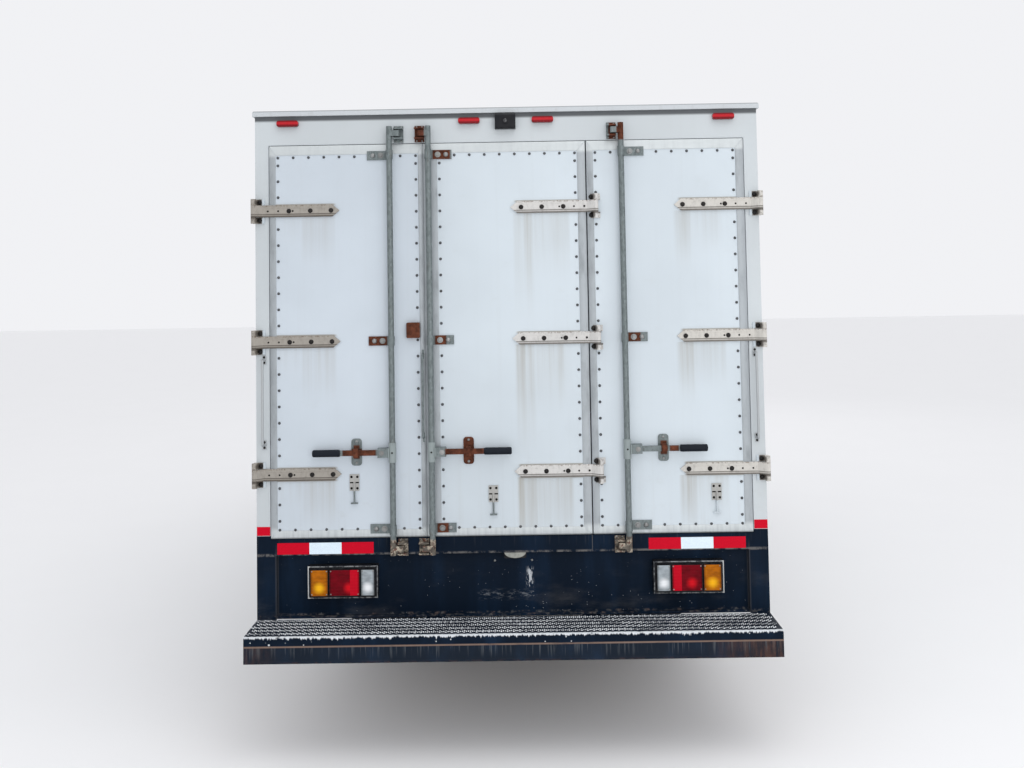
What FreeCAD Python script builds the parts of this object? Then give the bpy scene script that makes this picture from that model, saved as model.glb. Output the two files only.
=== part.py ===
import FreeCAD, Part

import math
import os

V = FreeCAD.Vector

# Box truck: a cab-over chassis with a panelled van body, three hinged rear doors and a step bumper.
# Millimetres. +Y is the way it drives, +X its right side, +Z up, the origin on the ground.

# Lengths along the truck
step_depth = 250.0
box_length = 4880.0
cab_gap = 100.0
cab_length = 1700.0
bumper_lead = 85.0
front_overhang = 1100.0
wheelbase = 3810.0

# Widths and heights that many pieces share
box_width = 2440.0
cab_width = 2000.0
door_bottom_z = 962.0
header_height = 146.0
roof_cap_height = 27.0
roof_top_z = 3020.0
axle_z = 385.0
cut_overrun = 10.0
fit_gap = 0.05
seat_gap = 0.3
move_gap = 6.0

# Places worked out from them
overall_length = step_depth + box_length + cab_gap + cab_length + bumper_lead
rear_y = step_depth - overall_length / 2
box_front_y = rear_y + box_length
cab_back_y = box_front_y + cab_gap
cab_front_y = cab_back_y + cab_length
nose_y = cab_front_y + bumper_lead
front_axle_y = nose_y - front_overhang
rear_axle_y = front_axle_y - wheelbase
box_half = box_width / 2
header_top_z = roof_top_z - roof_cap_height
door_top_z = header_top_z - header_height
cab_half = cab_width / 2

# Frame rails and cross members
rail_spread = 850.0
rail_flange = 65.0
rail_web = 7.0
rail_depth = 190.0
rail_top_z = 792.0
rail_setback = 60.0
cross_member_drop = 25.0
cross_member_height = 80.0
cross_member_flange = 60.0
cross_member_wall = 6.0
cross_member_shares = (0.0, 0.16, 0.37, 0.53, 0.66)
rail_bottom_z = rail_top_z - rail_depth
rail_half = rail_spread / 2
rail_inner = rail_half - rail_web

# Cab tilt pivot
pivot_setback = 150.0
pivot_z = 740.0
pivot_radius = 24.0
rail_nose_past_pivot = 28.0
pivot_lug_x = 290.0
pivot_lug_width = 24.0
bumper_bracket_drop = 62.0
bumper_bracket_step = 12.0
pivot_y = cab_front_y - pivot_setback

# Floor with its bearers
floor_thick = 40.0
door_gap = 4.0
bearer_height = 76.0
bearer_flange = 45.0
bearer_wall = 5.0
bearer_count = 14
sill_width = 60.0
floor_top_z = door_bottom_z - door_gap
floor_bottom_z = floor_top_z - floor_thick
bearer_bottom_z = floor_bottom_z - bearer_height

# Van body walls and roof
wall_thick = 28.0
wall_inset = 8.0
front_wall_thick = 40.0
base_rail_height = 130.0
top_rail_height = 90.0
roof_overhang = 11.0
roof_edge_radius = 10.0
roof_bow_depth = 30.0
roof_bow_width = 45.0
roof_bow_count = 7

# Rear frame
post_width = 66.0
post_depth = 80.0
navy_post_width = 93.0
post_split_z = 974.0
sill_bottom_z = 880.0
tread_z = 580.0
panel_recess = 30.0
panel_thick = 6.0
panel_rim = 12.0
sill_top_z = floor_top_z

# Rear doors
door_thick = 40.0
door_proud = 3.0
left_meeting_gap = 12.0
right_meeting_gap = 6.0
door_width_shares = (748.0, 774.0, 760.0)
outer_door_x = box_half - post_width - door_gap
door_unit = (2 * outer_door_x - left_meeting_gap - right_meeting_gap) / sum(door_width_shares)
left_door_edge_x = -outer_door_x + door_width_shares[0] * door_unit
centre_door_left_x = left_door_edge_x + left_meeting_gap
centre_door_right_x = centre_door_left_x + door_width_shares[1] * door_unit
right_door_edge_x = centre_door_right_x + right_meeting_gap

# Rear door hinges
pin_out = 28.0
pin_past_post = 2.0
centre_pin_inset = 40.0
outer_pin_x = box_half + pin_past_post
centre_pin_x = right_door_edge_x + centre_pin_inset
pin_radius = 8.0
barrel_radius = 13.0
hinge_low_rise = 302.0
hinge_high_drop = 317.0
hinge_count = 3
hinge_low_z = door_bottom_z + hinge_low_rise
hinge_pitch = (door_top_z - hinge_high_drop - hinge_low_z) / (hinge_count - 1)
strap_reach = 412.0
strap_height = 58.0
strap_thick = 8.0
strap_point = 34.0
barrel_height = 56.0
butt_height = 118.0
butt_width = 46.0
butt_thick = 6.0
barrel_play = 1.0
door_root = 34.0

# Lock rods and their fittings
rod_radius = 14.0
rod_out = 36.0
left_rod_inset = 160.0
centre_rod_inset = 15.0
right_rod_inset = 166.0
rod_foot_drop = 78.0
rod_head_rise = 83.0
nose_past_door = 48.0
left_rod_x = left_door_edge_x - left_rod_inset
centre_rod_x = centre_door_left_x + centre_rod_inset
right_rod_x = right_door_edge_x + right_rod_inset
rod_bottom_z = door_bottom_z - rod_foot_drop
rod_top_z = door_top_z + rod_head_rise
nose_low_z = door_bottom_z - nose_past_door
nose_high_z = door_top_z + nose_past_door
nose_reach = 50.0
nose_height = 28.0
nose_depth = 30.0
keeper_width = 46.0
keeper_height = 80.0
keeper_plate = 5.0
keeper_lip = 40.0
keeper_lip_thick = 6.0
keeper_play = 7.0
bracket_height = 44.0
bracket_reach = 112.0
bracket_thick = 6.0
bracket_ring = 17.0
bracket_low_rise = 41.0
bracket_high_drop = 54.0
bracket_mid_drop = 2.0
bracket_low_z = door_bottom_z + bracket_low_rise
bracket_high_z = door_top_z - bracket_high_drop
bracket_mid_z = (bracket_low_z + bracket_high_z) / 2 - bracket_mid_drop
lock_handle_z = 1367.0
hub_radius = 18.0
hub_height = 92.0
clevis_length = 55.0
clevis_height = 44.0
clevis_depth = 34.0
bar_length = 180.0
bar_height = 26.0
bar_thick = 10.0
grip_length = 132.0
grip_radius = 17.0
hasp_near = 150.0
hasp_width = 50.0
hasp_height = 128.0
hasp_thick = 5.0
hasp_post_width = 22.0
hasp_play = 2.0

# Small fittings of the rear
grab_inset = 40.0
grab_x = box_half - grab_inset
grab_radius = 6.0
grab_out = 40.0
grab_low_z = 1385.0
grab_length = 450.0
grab_foot_width = 19.0
grab_foot_height = 44.0
grab_foot_thick = 4.0
pull_inset = 12.0
pull_x = left_door_edge_x - pull_inset
pull_radius = 5.0
pull_out = 34.0
pull_low_z = 1411.0
pull_length = 440.0
pull_foot_width = 10.0
catch_inset = 55.0
catch_rise = 49.0
catch_x = left_door_edge_x - catch_inset
catch_z = bracket_mid_z + catch_rise
catch_width = 66.0
catch_height = 74.0
catch_depth = 30.0
hook_width = 46.0
hook_height = 78.0
hook_thick = 5.0
left_hook_inset = 347.0
left_hook_z = 1223.0
centre_hook_inset = 305.0
centre_hook_z = 1160.0
right_hook_inset = 170.0
right_hook_z = 1154.0
hook_places = ((left_door_edge_x - left_hook_inset, left_hook_z),
               (centre_door_left_x + centre_hook_inset, centre_hook_z),
               (outer_door_x - right_hook_inset, right_hook_z))
hook_bar_drop = 58.0
hook_bar_radius = 4.0
hook_bar_width = 34.0

# Lamps and camera of the rear
left_marker_inset = 162.0
right_marker_inset = 163.0
mid_marker_left_x = -176.0
mid_marker_right_x = 181.0
marker_drop = 38.0
marker_x = (left_marker_inset - box_half, mid_marker_left_x, mid_marker_right_x, box_half - right_marker_inset)
marker_z = header_top_z - marker_drop
marker_length = 104.0
marker_height = 30.0
marker_depth = 22.0
camera_width = 100.0
camera_height = 74.0
camera_depth = 40.0
camera_drop = 45.0
camera_z = header_top_z - camera_drop
camera_lens_radius = 14.0
camera_lens_rise = 4.0
left_tail_lamp_inset = 413.0
right_tail_lamp_inset = 384.0
tail_lamp_x = (left_tail_lamp_inset - box_half, box_half - right_tail_lamp_inset)
tail_lamp_z = 757.0
tail_lamp_length = 334.0
tail_lamp_height = 152.0
tail_lamp_depth = 46.0
tail_lamp_rim = 15.0
lens_gap = 7.0
lens_depth = 14.0
clear_lens = 64.0
red_lens = 143.0
plate_lamp_x = 14.0
plate_lamp_width = 106.0
plate_lamp_height = 26.0
plate_lamp_depth = 34.0

# Step bumper
bumper_width = box_width
bumper_plate = 6.0
bumper_front_height = 41.0
bumper_bottom_z = 460.0
bumper_arm_length = 260.0
bumper_channel_depth = 90.0
bumper_arm_width = 70.0
bumper_arm_height = 80.0
bumper_arm_x = 380.0

# Wheels and tyres
tyre_radius = 385.0
tyre_width = 214.0
tyre_bead_radius = 212.0
tyre_shoulder = 26.0
tyre_wall = 14.0
crown_drop = 3.5
rim_radius = 211.0
rim_flange_radius = 222.0
rim_width = 160.0
rim_wall = 7.0
disc_radius = 150.0
hand_hole_radius = 21.0
hand_hole_circle = 148.0
hand_hole_count = 8
hub_bolt_count = 6
hub_bolt_radius = 11.0
hub_bolt_circle = 111.0
hub_bolt_rise = 22.0
hub_bore_radius = 30.0
front_hub_radius = 78.0
rear_hub_radius = 85.0
drum_radius = 165.0
drum_width = 90.0
track_front = 1665.0
twin_spacing = 250.0
twin_track = 1650.0

# Front axle
beam_height = 90.0
beam_width = 75.0
beam_z = 330.0
kingpin_x = 690.0
kingpin_radius = 16.0
kingpin_boss_radius = 34.0
kingpin_boss_height = 96.0
knuckle_ear_height = 30.0
knuckle_play = 1.0
back_plate_radius = 150.0
back_plate_thick = 6.0

# Rear axle and propeller shaft
axle_tube_radius = 58.0
diff_radius = 175.0
diff_half_width = 150.0
shaft_radius = 42.0
shaft_end_radius = 60.0
shaft_end_length = 60.0

# Leaf springs
spring_width = 70.0
leaf_thick = 11.0
front_leaf_count = 4
rear_leaf_count = 6
front_spring_length = 1150.0
rear_spring_length = 1250.0
leaf_step_share = 0.14
spring_eye_radius = 22.0
spring_seat_height = 26.0

# Engine, radiator, exhaust, tank, battery box, mudflaps
engine_width = 560.0
engine_length = 950.0
engine_bottom_z = 480.0
engine_top_z = 1010.0
engine_setback = 520.0
gearbox_width = 340.0
gearbox_length = 640.0
gearbox_height = 330.0
tank_width = 330.0
tank_length = 900.0
tank_height = 380.0
tank_radius = 60.0
tank_gap = 55.0
tank_top_z = 770.0
tank_strap_width = 45.0
tank_strap_thick = 4.0
battery_length = 560.0
battery_width = 330.0
battery_height = 300.0
battery_radius = 18.0
silencer_radius = 110.0
silencer_length = 700.0
silencer_x = 610.0
silencer_z = 560.0
pipe_radius = 32.0
pipe_bend = 64.0
tail_run = 96.0
flap_width = 520.0
flap_thick = 9.0
flap_behind = 190.0
flap_low_z = 190.0

# Front bumper
bumper_depth = 60.0
front_bumper_width = 1990.0
front_bumper_low_z = 420.0
front_bumper_top_z = 672.0
front_bumper_wall = 5.0
front_bumper_radius = 14.0
rail_length = pivot_y + rail_nose_past_pivot - rear_y - rail_setback

# Smaller sizes of the running gear
tank_back_y = -100.0
battery_lid_lip = 8.0
battery_lid_height = 50.0
exhaust_y = 700.0
inlet_length = 150.0
tail_pipe_x = 1040.0
sump_low_z = 400.0
mount_width = 60.0
mount_z = 625.0
engine_round = 30.0
radiator_setback = 330.0
radiator_thick = 60.0
radiator_width = 600.0
radiator_low_z = 470.0
radiator_top_z = 850.0
radiator_hose_z = 780.0
spring_x = 380.0
front_spring_camber = 90.0
rear_spring_camber = 45.0
yoke_thick = 22.0
beam_neck = 12.0
flap_x = 860.0
flap_bar = 34.0
flap_bar_z = 770.0
disc_flat_out = 100.0
disc_root_out = 40.0
disc_thick = 8.0
hub_cap_length = 42.0
hub_cap_radius = 52.0
wheel_track_gap = 6.0
spindle_past_disc = 6.0
drum_inset = 8.0
rear_drum_step = 32.0
disc_root_thick = 16.0
front_wheel_x = track_front / 2
front_disc_x = front_wheel_x + disc_flat_out
twin_x = twin_track / 2
twin_hub_inner_x = 628.0
front_spindle_end_x = front_disc_x + spindle_past_disc
spindle_end_x = twin_x + spindle_past_disc + disc_thick

# Shares: each is a part of the size that it is multiplied by
straight_share = 0.999
strap_shares = (0.2, 0.8)
silencer_round_share = 0.25
hanger_share = 0.8
sump_share = 0.75
diff_round_share = 0.35
seat_share = 1.3
beam_groove_share = 0.5
beam_web_share = 0.38
nose_round_share = 0.3
hub_start_share = 0.8
grip_round_share = 0.4
hasp_round_share = 0.3
catch_round_share = 0.25
lamp_round_share = 0.35
bulge_share = 0.52
shoulder_share = 0.9

# Cab shell. A setback is measured to the rear from the cab's front.
cab_floor_z = 880.0
cab_floor_thick = 40.0
cab_side_wall = 60.0
cab_front_wall = 50.0
cab_back_wall = 60.0
cab_roof_wall = 40.0
cab_waist_z = 1330.0
cab_waist_setback = 10.0
screen_top_z = 2080.0
screen_top_setback = 330.0
roof_front_z = 2190.0
roof_front_setback = 480.0
roof_rear_z = 2200.0
roof_rear_setback = 1590.0
roof_back_drop = 90.0
cab_edge_radius = 42.0
front_panel_low_z = 690.0
skirt_low_z = 640.0
step_low_z = 430.0
step_front_setback = 90.0
step_back_setback = 490.0
step_width = 210.0
step_wall = 26.0
arch_radius = 470.0
door_arch_radius = 525.0
tunnel_half = 310.0
tunnel_top_z = 1060.0
tunnel_setback = 480.0
tunnel_wall = 30.0
screen_low_z = 1392.0
screen_high_z = 2028.0
screen_half = 860.0
glass_thick = 6.0
screen_cut_depth = 120.0
glass_depth = 12.0
pivot_lug_reach = 46.0

# Cab doors
cab_door_front_setback = 210.0
cab_door_rear_setback = 1130.0
cab_door_low_z = 700.0
cab_door_high_z = 2060.0
cab_door_gap = 8.0
window_frame = 62.0
window_low_z = 1392.0
cab_hinge_z = (850.0, 1280.0)
cab_hinge_radius = 10.0
cab_hinge_pin = 6.0
cab_hinge_height = 26.0
cab_hinge_leaf = 40.0
cab_hinge_leaf_thick = 5.0
door_handle_z = 1230.0
door_handle_length = 150.0
door_handle_height = 24.0
door_handle_out = 34.0
door_handle_foot = 24.0

# Grille, headlamps, mirrors
grille_low_z = 920.0
grille_high_z = 1190.0
grille_half = 620.0
grille_frame = 28.0
grille_depth = 18.0
grille_bar = 22.0
grille_bar_count = 4
headlamp_low_z = 735.0
headlamp_high_z = 880.0
headlamp_near_x = 600.0
headlamp_far_x = 915.0
headlamp_depth = 12.0
headlamp_round = 24.0
mirror_x = 1220.0
mirror_setback = 60.0
mirror_low_z = 1420.0
mirror_high_z = 1985.0
mirror_bar = 11.0
mirror_head_width = 180.0
mirror_head_height = 400.0
mirror_head_depth = 60.0
mirror_head_z = 1690.0
mirror_round = 26.0

# Inside of the cab
dash_low_z = 1120.0
dash_front_z = 1322.0
dash_top_z = 1366.0
dash_depth = 290.0
dash_play = 8.0
seat_spread = 520.0
driver_x = -seat_spread
column_low_setback = 250.0
column_low_z = 1180.0
column_high_setback = 430.0
column_high_z = 1395.0
column_low = (column_low_setback, column_low_z)
column_high = (column_high_setback, column_high_z)
column_radius = 28.0
column_pin = 10.0
wheel_rim_radius = 205.0
wheel_rim_tube = 14.0
wheel_hub_radius = 45.0
wheel_hub_height = 40.0
wheel_spoke_width = 30.0
wheel_spoke_count = 3
seat_x = (-seat_spread, seat_spread)
seat_width = 480.0
seat_length = 460.0
seat_low_z = 1150.0
seat_high_z = 1270.0
seat_front_setback = 960.0
seat_base_inset = 60.0
seat_back_thick = 110.0
seat_back_top_z = 1800.0
seat_back_lean = 90.0
seat_round = 30.0
seat_base_reach = 150.0
pivot_play = 0.05
window_rake_share = 0.9
dash_hood_share = 0.35
dash_drop_share = 0.12
dash_knee_share = 0.45
dash_foot_share = 0.6
spoke_start = 90.0
grab_bend_share = 2.2
plate_hole_radius = 3.5
plate_hole_spacing = 178.0
plate_hole_z = (front_bumper_low_z + front_bumper_top_z) / 2


def block(x, y, z):
    """A box between the low and high ends given along each axis."""
    return Part.makeBox(x[1] - x[0], y[1] - y[0], z[1] - z[0], V(x[0], y[0], z[0]))


def about(centre, width):
    """The two ends of a width laid about its centre."""
    return centre - width / 2, centre + width / 2


def rod(radius, start, end):
    """A round bar from one point to another."""
    way = V(*end) - V(*start)
    return Part.makeCylinder(radius, way.Length, V(*start), way)


def upright(radius, x, y, z):
    """A round bar that stands between its two heights."""
    return rod(radius, (x, y, z[0]), (x, y, z[1]))


def past(ends):
    """Two ends, each moved out so that a cut goes right through."""
    return ends[0] - cut_overrun, ends[1] + cut_overrun


def extrude(points, direction):
    """A closed outline of straight sides, pushed along a direction."""
    corners = [V(*p) for p in points]
    return Part.Face(Part.makePolygon(corners + corners[:1])).extrude(V(*direction))


def side_plate(outline, x):
    """An outline in length and height, as thick as the two x ends are apart."""
    return extrude([(x[0], y, z) for y, z in outline], (x[1] - x[0], 0, 0))


def revolve_x(profile, x, y, z):
    """A profile of (x, radius) points turned about a line along X."""
    corners = [V(x + a, y, z + r) for a, r in profile]
    face = Part.Face(Part.makePolygon(corners + corners[:1]))
    return face.revolve(V(x, y, z), V(1, 0, 0), 360)


def fuse(shapes):
    whole = shapes[0]
    if len(shapes) > 1:
        whole = whole.multiFuse(shapes[1:])
    return whole.removeSplitter()


def cut(shape, tools):
    return shape.cut(Part.makeCompound(tools))


def bent_rod(radius, points, bend):
    """A round bar along straight runs, with an arc of the bend's radius at each turn."""
    corners = [V(*p) for p in points]
    edges = []
    start = corners[0]
    for before, corner, after in zip(corners, corners[1:], corners[2:]):
        back = (before - corner).normalize()
        on = (after - corner).normalize()
        half_turn = (math.pi - back.getAngle(on)) / 2
        reach = bend * math.tan(half_turn)
        enter, leave = corner + back * reach, corner + on * reach
        middle = corner + (back + on).normalize() * (bend / math.cos(half_turn) - bend)
        edges.append(Part.makeLine(start, enter))
        edges.append(Part.Arc(enter, middle, leave).toShape())
        start = leave
    edges.append(Part.makeLine(start, corners[-1]))
    section = Part.Wire(Part.makeCircle(radius, corners[0], corners[1] - corners[0]))
    return Part.Wire(edges).makePipeShell([section], True, True)


def flip(shape):
    """The same piece on the other side of the truck."""
    return shape.mirror(V(0, 0, 0), V(1, 0, 0))


def both(shape):
    return [shape, flip(shape)]


def round_edges(shape, radius, chosen):
    """Rounds the edges for which chosen(edge) holds."""
    return shape.makeFillet(radius, [e for e in shape.Edges if chosen(e)])


def runs_along(edge, axis):
    """True where a straight edge runs along 'x', 'y' or 'z'."""
    ends = edge.Vertexes
    if len(ends) < 2:
        return False
    way = ends[1].Point - ends[0].Point
    main = {"x": way.x, "y": way.y, "z": way.z}[axis]
    return abs(main) > way.Length * straight_share


def solids_of(shapes):
    found = []
    for shape in shapes:
        found += shape.Solids
    return found


def save(name, shapes):
    pieces = solids_of(shapes)
    whole = pieces[0] if len(pieces) == 1 else Part.makeCompound(pieces)
    whole.exportStep("parts/" + name + ".step")


def frame_rails():
    """Two C-section rails, each with a hanger and an arm for the front bumper."""
    y = (rear_y + rail_setback, pivot_y + rail_nose_past_pivot)
    z = (rail_bottom_z, rail_top_z)
    solid = block((rail_half - rail_flange, rail_half), y, z)
    hollow = block((rail_half - rail_flange - cut_overrun, rail_inner), past(y),
                   (z[0] + rail_web, z[1] - rail_web))
    rail = solid.cut(hollow)
    x = (rail_half - rail_flange, rail_half)
    arm_top = rail_bottom_z - bumper_bracket_step
    hanger = block(x, (pivot_y - bumper_bracket_drop, y[1]), (arm_top, rail_bottom_z))
    arm = block(x, (pivot_y - bumper_bracket_drop, nose_y - front_bumper_wall - seat_gap),
                (rail_bottom_z - bumper_bracket_drop, arm_top))
    return both(fuse([rail, hanger, arm]))


def cross_members():
    """Channels between the rails, with the round tube that the cab tilts on."""
    members = []
    length = rail_length
    z = (rail_top_z - cross_member_drop - cross_member_height, rail_top_z - cross_member_drop)
    for share in cross_member_shares:
        y0 = rear_y + rail_setback + length * share
        y = (y0, y0 + cross_member_flange)
        x = (-rail_inner, rail_inner)
        solid = block(x, y, z)
        hollow = block(past(x), (y[0] + cross_member_wall, y[1] + cut_overrun),
                       (z[0] + cross_member_wall, z[1] - cross_member_wall))
        members.append(solid.cut(hollow))
    members.append(rod(pivot_radius, (-rail_inner, pivot_y, pivot_z), (rail_inner, pivot_y, pivot_z)))
    return members


def floor_bearers():
    """C-section bearers across the floor, on two long sills over the rails."""
    pieces = []
    y_first = rear_y + post_depth + bearer_flange
    y_last = box_front_y - front_wall_thick - bearer_flange
    step = (y_last - y_first) / (bearer_count - 1)
    z = (bearer_bottom_z, floor_bottom_z)
    x = (-box_half + wall_thick, box_half - wall_thick)
    for i in range(bearer_count):
        y = about(y_first + i * step, bearer_flange)
        solid = block(x, y, z)
        hollow = block((x[0] - cut_overrun, x[1] + cut_overrun), (y[0] + bearer_wall, y[1] + cut_overrun),
                       (z[0] + bearer_wall, z[1] - bearer_wall))
        pieces.append(solid.cut(hollow))
    sill_x = (rail_half - sill_width, rail_half)
    sill = block(sill_x, (rear_y + post_depth, box_front_y), (rail_top_z, bearer_bottom_z))
    return [fuse(pieces + both(sill))]


def box_floor():
    y = (rear_y + post_depth, box_front_y - front_wall_thick)
    half = box_half - wall_thick
    return [block((-half, half), y, (floor_bottom_z, floor_top_z))]


def box_side(sign):
    """A flat panel with a deeper rail along its foot and its head."""
    y = (rear_y + post_depth, box_front_y)
    outer = box_half
    z = (bearer_bottom_z, header_top_z)
    panel = block((outer - wall_thick, outer - wall_inset), y, z)
    foot = block((outer - wall_thick, outer), y, (z[0], z[0] + base_rail_height))
    head = block((outer - wall_thick, outer), y, (z[1] - top_rail_height, z[1]))
    wall = fuse([panel, foot, head])
    return [wall if sign > 0 else flip(wall)]


def box_front_wall():
    half = box_half - wall_thick
    z = (bearer_bottom_z, header_top_z)
    y = (box_front_y - front_wall_thick, box_front_y)
    return [block((-half, half), y, z)]


def box_roof():
    """A thin cap with a rolled edge all round, and bows under it."""
    half = box_half + roof_overhang
    y = (rear_y - roof_overhang, box_front_y + roof_overhang)
    cap = block((-half, half), y, (header_top_z, roof_top_z))
    cap = round_edges(cap, roof_edge_radius, lambda e: e.BoundBox.ZMin > header_top_z + roof_edge_radius)
    bows = []
    inner = box_half - wall_thick
    first = rear_y + post_depth + roof_bow_width
    step = (box_front_y - front_wall_thick - roof_bow_width - first) / (roof_bow_count - 1)
    for i in range(roof_bow_count):
        bow_y = about(first + i * step, roof_bow_width)
        bows.append(block((-inner, inner), bow_y, (header_top_z - roof_bow_depth, header_top_z)))
    return [fuse([cap] + bows)]


def rear_frame():
    """The white upper half of the rear frame: two posts and the header, in one piece."""
    y = (rear_y, rear_y + post_depth)
    post_inner = box_half - post_width
    post = block((post_inner, box_half), y, (post_split_z, header_top_z))
    header = block((-post_inner, post_inner), y, (door_top_z + door_gap, header_top_z))
    whole = fuse([post, flip(post), header])
    return [whole]


def rear_sill():
    """The navy lower half: short wide posts, the sill across them and the lamp panel set back below."""
    y = (rear_y, rear_y + post_depth)
    post = block((box_half - navy_post_width, box_half), y, (tread_z, sill_top_z))
    stub = block((box_half - post_width, box_half), y, (sill_top_z, post_split_z))
    half = box_half - navy_post_width
    sill = block((-half, half), y, (sill_bottom_z, sill_top_z))
    panel_y = rear_y + panel_recess
    panel = block((-half, half), (panel_y, panel_y + panel_thick), (tread_z, sill_bottom_z))
    rim = block((-half, half), (rear_y + panel_rim, panel_y), (tread_z, tread_z + panel_rim))
    return [fuse([post, flip(post), stub, flip(stub), sill, panel, rim])]


def step_bumper():
    """A deep step across the back: grip plate, front band, a lower channel and two arms to the rails."""
    half = bumper_width / 2
    y_far = rear_y
    y_near = rear_y - step_depth
    tread = block((-half, half), (y_near, y_far), (tread_z - bumper_plate, tread_z))
    band = block((-half, half), (y_near, y_near + bumper_plate), (tread_z - bumper_front_height, tread_z))
    low_y = (y_near, y_near + bumper_channel_depth)
    z_mid = tread_z - bumper_front_height
    channel = block((-half, half), low_y, (bumper_bottom_z, z_mid))
    hollow = block((-half + bumper_plate, half - bumper_plate),
                   (low_y[0] + bumper_plate, low_y[1] + cut_overrun),
                   (bumper_bottom_z + bumper_plate, z_mid - bumper_plate))
    end = block((half - bumper_plate, half), (y_near, y_far), (z_mid, tread_z))
    arm_x = about(bumper_arm_x, bumper_arm_width)
    arm_top = tread_z - bumper_plate
    arm_y = (low_y[1] - bumper_plate, rear_y + bumper_arm_length)
    arm = block(arm_x, arm_y, (arm_top - bumper_arm_height, arm_top))
    hanger = block(arm_x, (rear_y + rail_setback, rear_y + bumper_arm_length), (arm_top, rail_bottom_z))
    return [fuse([tread, band, channel.cut(hollow), end, flip(end), arm, flip(arm), hanger, flip(hanger)])]


def hinge_heights():
    return [hinge_low_z + i * hinge_pitch for i in range(hinge_count)]


def butt(pin_x, face, plate_x, z):
    """Two lugs on their plates and the pin between them. The barrel of the strap turns on the pin."""
    pin_y = rear_y - pin_out
    pieces = [rod(pin_radius, (pin_x, pin_y, z - butt_height / 2), (pin_x, pin_y, z + butt_height / 2))]
    for sign in (1, -1):
        ends = sorted((z + sign * (barrel_height / 2 + barrel_play), z + sign * butt_height / 2))
        pieces.append(rod(barrel_radius, (pin_x, pin_y, ends[0]), (pin_x, pin_y, ends[1])))
        pieces.append(block(about(pin_x, barrel_radius), (pin_y, face), ends))
        pieces.append(block(plate_x, (face - butt_thick, face), ends))
    return fuse(pieces)


def outer_butt(sign, z):
    """A butt on the rear frame, its plate flush with the body's edge."""
    plate_x = sorted((sign * box_half, sign * (box_half - butt_width)))
    return butt(sign * outer_pin_x, rear_y, plate_x, z)


def strap(pin_x, way, z):
    """A pointed strap from its barrel on the pin, along the door's face. way is +1 or -1 along x."""
    pin_y = rear_y - pin_out
    face_y = rear_y - door_proud
    out_y = face_y - strap_thick
    tip = pin_x + way * strap_reach
    half = strap_height / 2
    shoulder = tip - way * strap_point
    root = pin_x + way * (door_root + strap_thick)
    blade = extrude([(root, out_y, z - half), (shoulder, out_y, z - half), (tip, out_y, z),
                     (shoulder, out_y, z + half), (root, out_y, z + half)], (0, strap_thick, 0))
    barrel_z = about(z, barrel_height)
    bend = pin_x + way * barrel_radius
    low = barrel_z[0]
    pin_faces = (pin_y - strap_thick, pin_y + strap_thick)
    crank = extrude([(pin_x, pin_faces[0], low), (bend, pin_faces[0], low), (root, out_y, low),
                     (root, face_y, low), (bend, pin_faces[1], low), (pin_x, pin_faces[1], low)],
                    (0, 0, barrel_height))
    barrel = upright(barrel_radius, pin_x, pin_y, barrel_z)
    bore = upright(pin_radius + fit_gap, pin_x, pin_y, past(barrel_z))
    return fuse([blade, crank, barrel]).cut(bore)


def door_panel(left, right):
    """A flat door that stands just proud of the rear frame."""
    y = (rear_y - door_proud, rear_y - door_proud + door_thick)
    return block((left, right), y, (door_bottom_z, door_top_z))


def lock_gear(rod_x, nose_way, handle_way, brackets_way):
    """One lock rod with its end noses, three guide brackets, and its handle in a hasp."""
    rod_y = rear_y - rod_out
    face = rear_y - door_proud
    pieces = [rod(rod_radius, (rod_x, rod_y, rod_bottom_z), (rod_x, rod_y, rod_top_z))]
    for z in (nose_low_z, nose_high_z):
        x = sorted((rod_x, rod_x + nose_way * nose_reach))
        nose = block(x, about(rod_y, nose_depth), about(z, nose_height))
        pieces.append(round_edges(nose, nose_depth * nose_round_share, lambda e: runs_along(e, "z") and
                                  abs(e.Vertexes[0].Point.x - rod_x) > rod_radius))
    for z in (bracket_low_z, bracket_mid_z, bracket_high_z):
        x = sorted((rod_x, rod_x + brackets_way * bracket_reach))
        plate = block(x, (face - bracket_thick, face), about(z, bracket_height))
        ring = upright(bracket_ring, rod_x, rod_y, about(z, bracket_height))
        foot = block(about(rod_x, bracket_ring), (rod_y, face), about(z, bracket_height))
        pieces += [plate, ring, foot]
    z = lock_handle_z
    pieces.append(upright(hub_radius, rod_x, rod_y, about(z, hub_height)))
    start = rod_x + handle_way * hub_radius * hub_start_share
    clevis_end = start + handle_way * clevis_length
    bar_end = clevis_end + handle_way * bar_length
    grip_end = bar_end + handle_way * grip_length
    bar_y = rod_y
    pieces.append(block(sorted((start, clevis_end)), about(bar_y, clevis_depth), about(z, clevis_height)))
    pieces.append(block(sorted((clevis_end, grip_end)), about(bar_y, bar_thick), about(z, bar_height)))
    grip = rod(grip_radius, (bar_end, bar_y, z), (grip_end, bar_y, z))
    pieces.append(round_edges(grip, grip_radius * grip_round_share, lambda e: True))
    gear = fuse(pieces)
    near = rod_x + handle_way * hasp_near
    hasp_x = sorted((near, near + handle_way * hasp_width))
    hasp = block(hasp_x, (face - hasp_thick, face), about(z, hasp_height))
    hasp = round_edges(hasp, hasp_width * hasp_round_share, lambda e: runs_along(e, "y"))
    keeper_x = about((hasp_x[0] + hasp_x[1]) / 2, hasp_post_width)
    bar_room = (z - bar_height / 2 - hasp_play, z + bar_height / 2 + hasp_play)
    loop_y = bar_y - bar_thick / 2 - hasp_play
    loop = block(keeper_x, (loop_y - hasp_thick, face), (bar_room[0] - hasp_thick, bar_room[1] + hasp_thick))
    room = block(past(keeper_x), (loop_y, face - hasp_thick), bar_room)
    return [gear, fuse([hasp, loop.cut(room)])]


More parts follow.
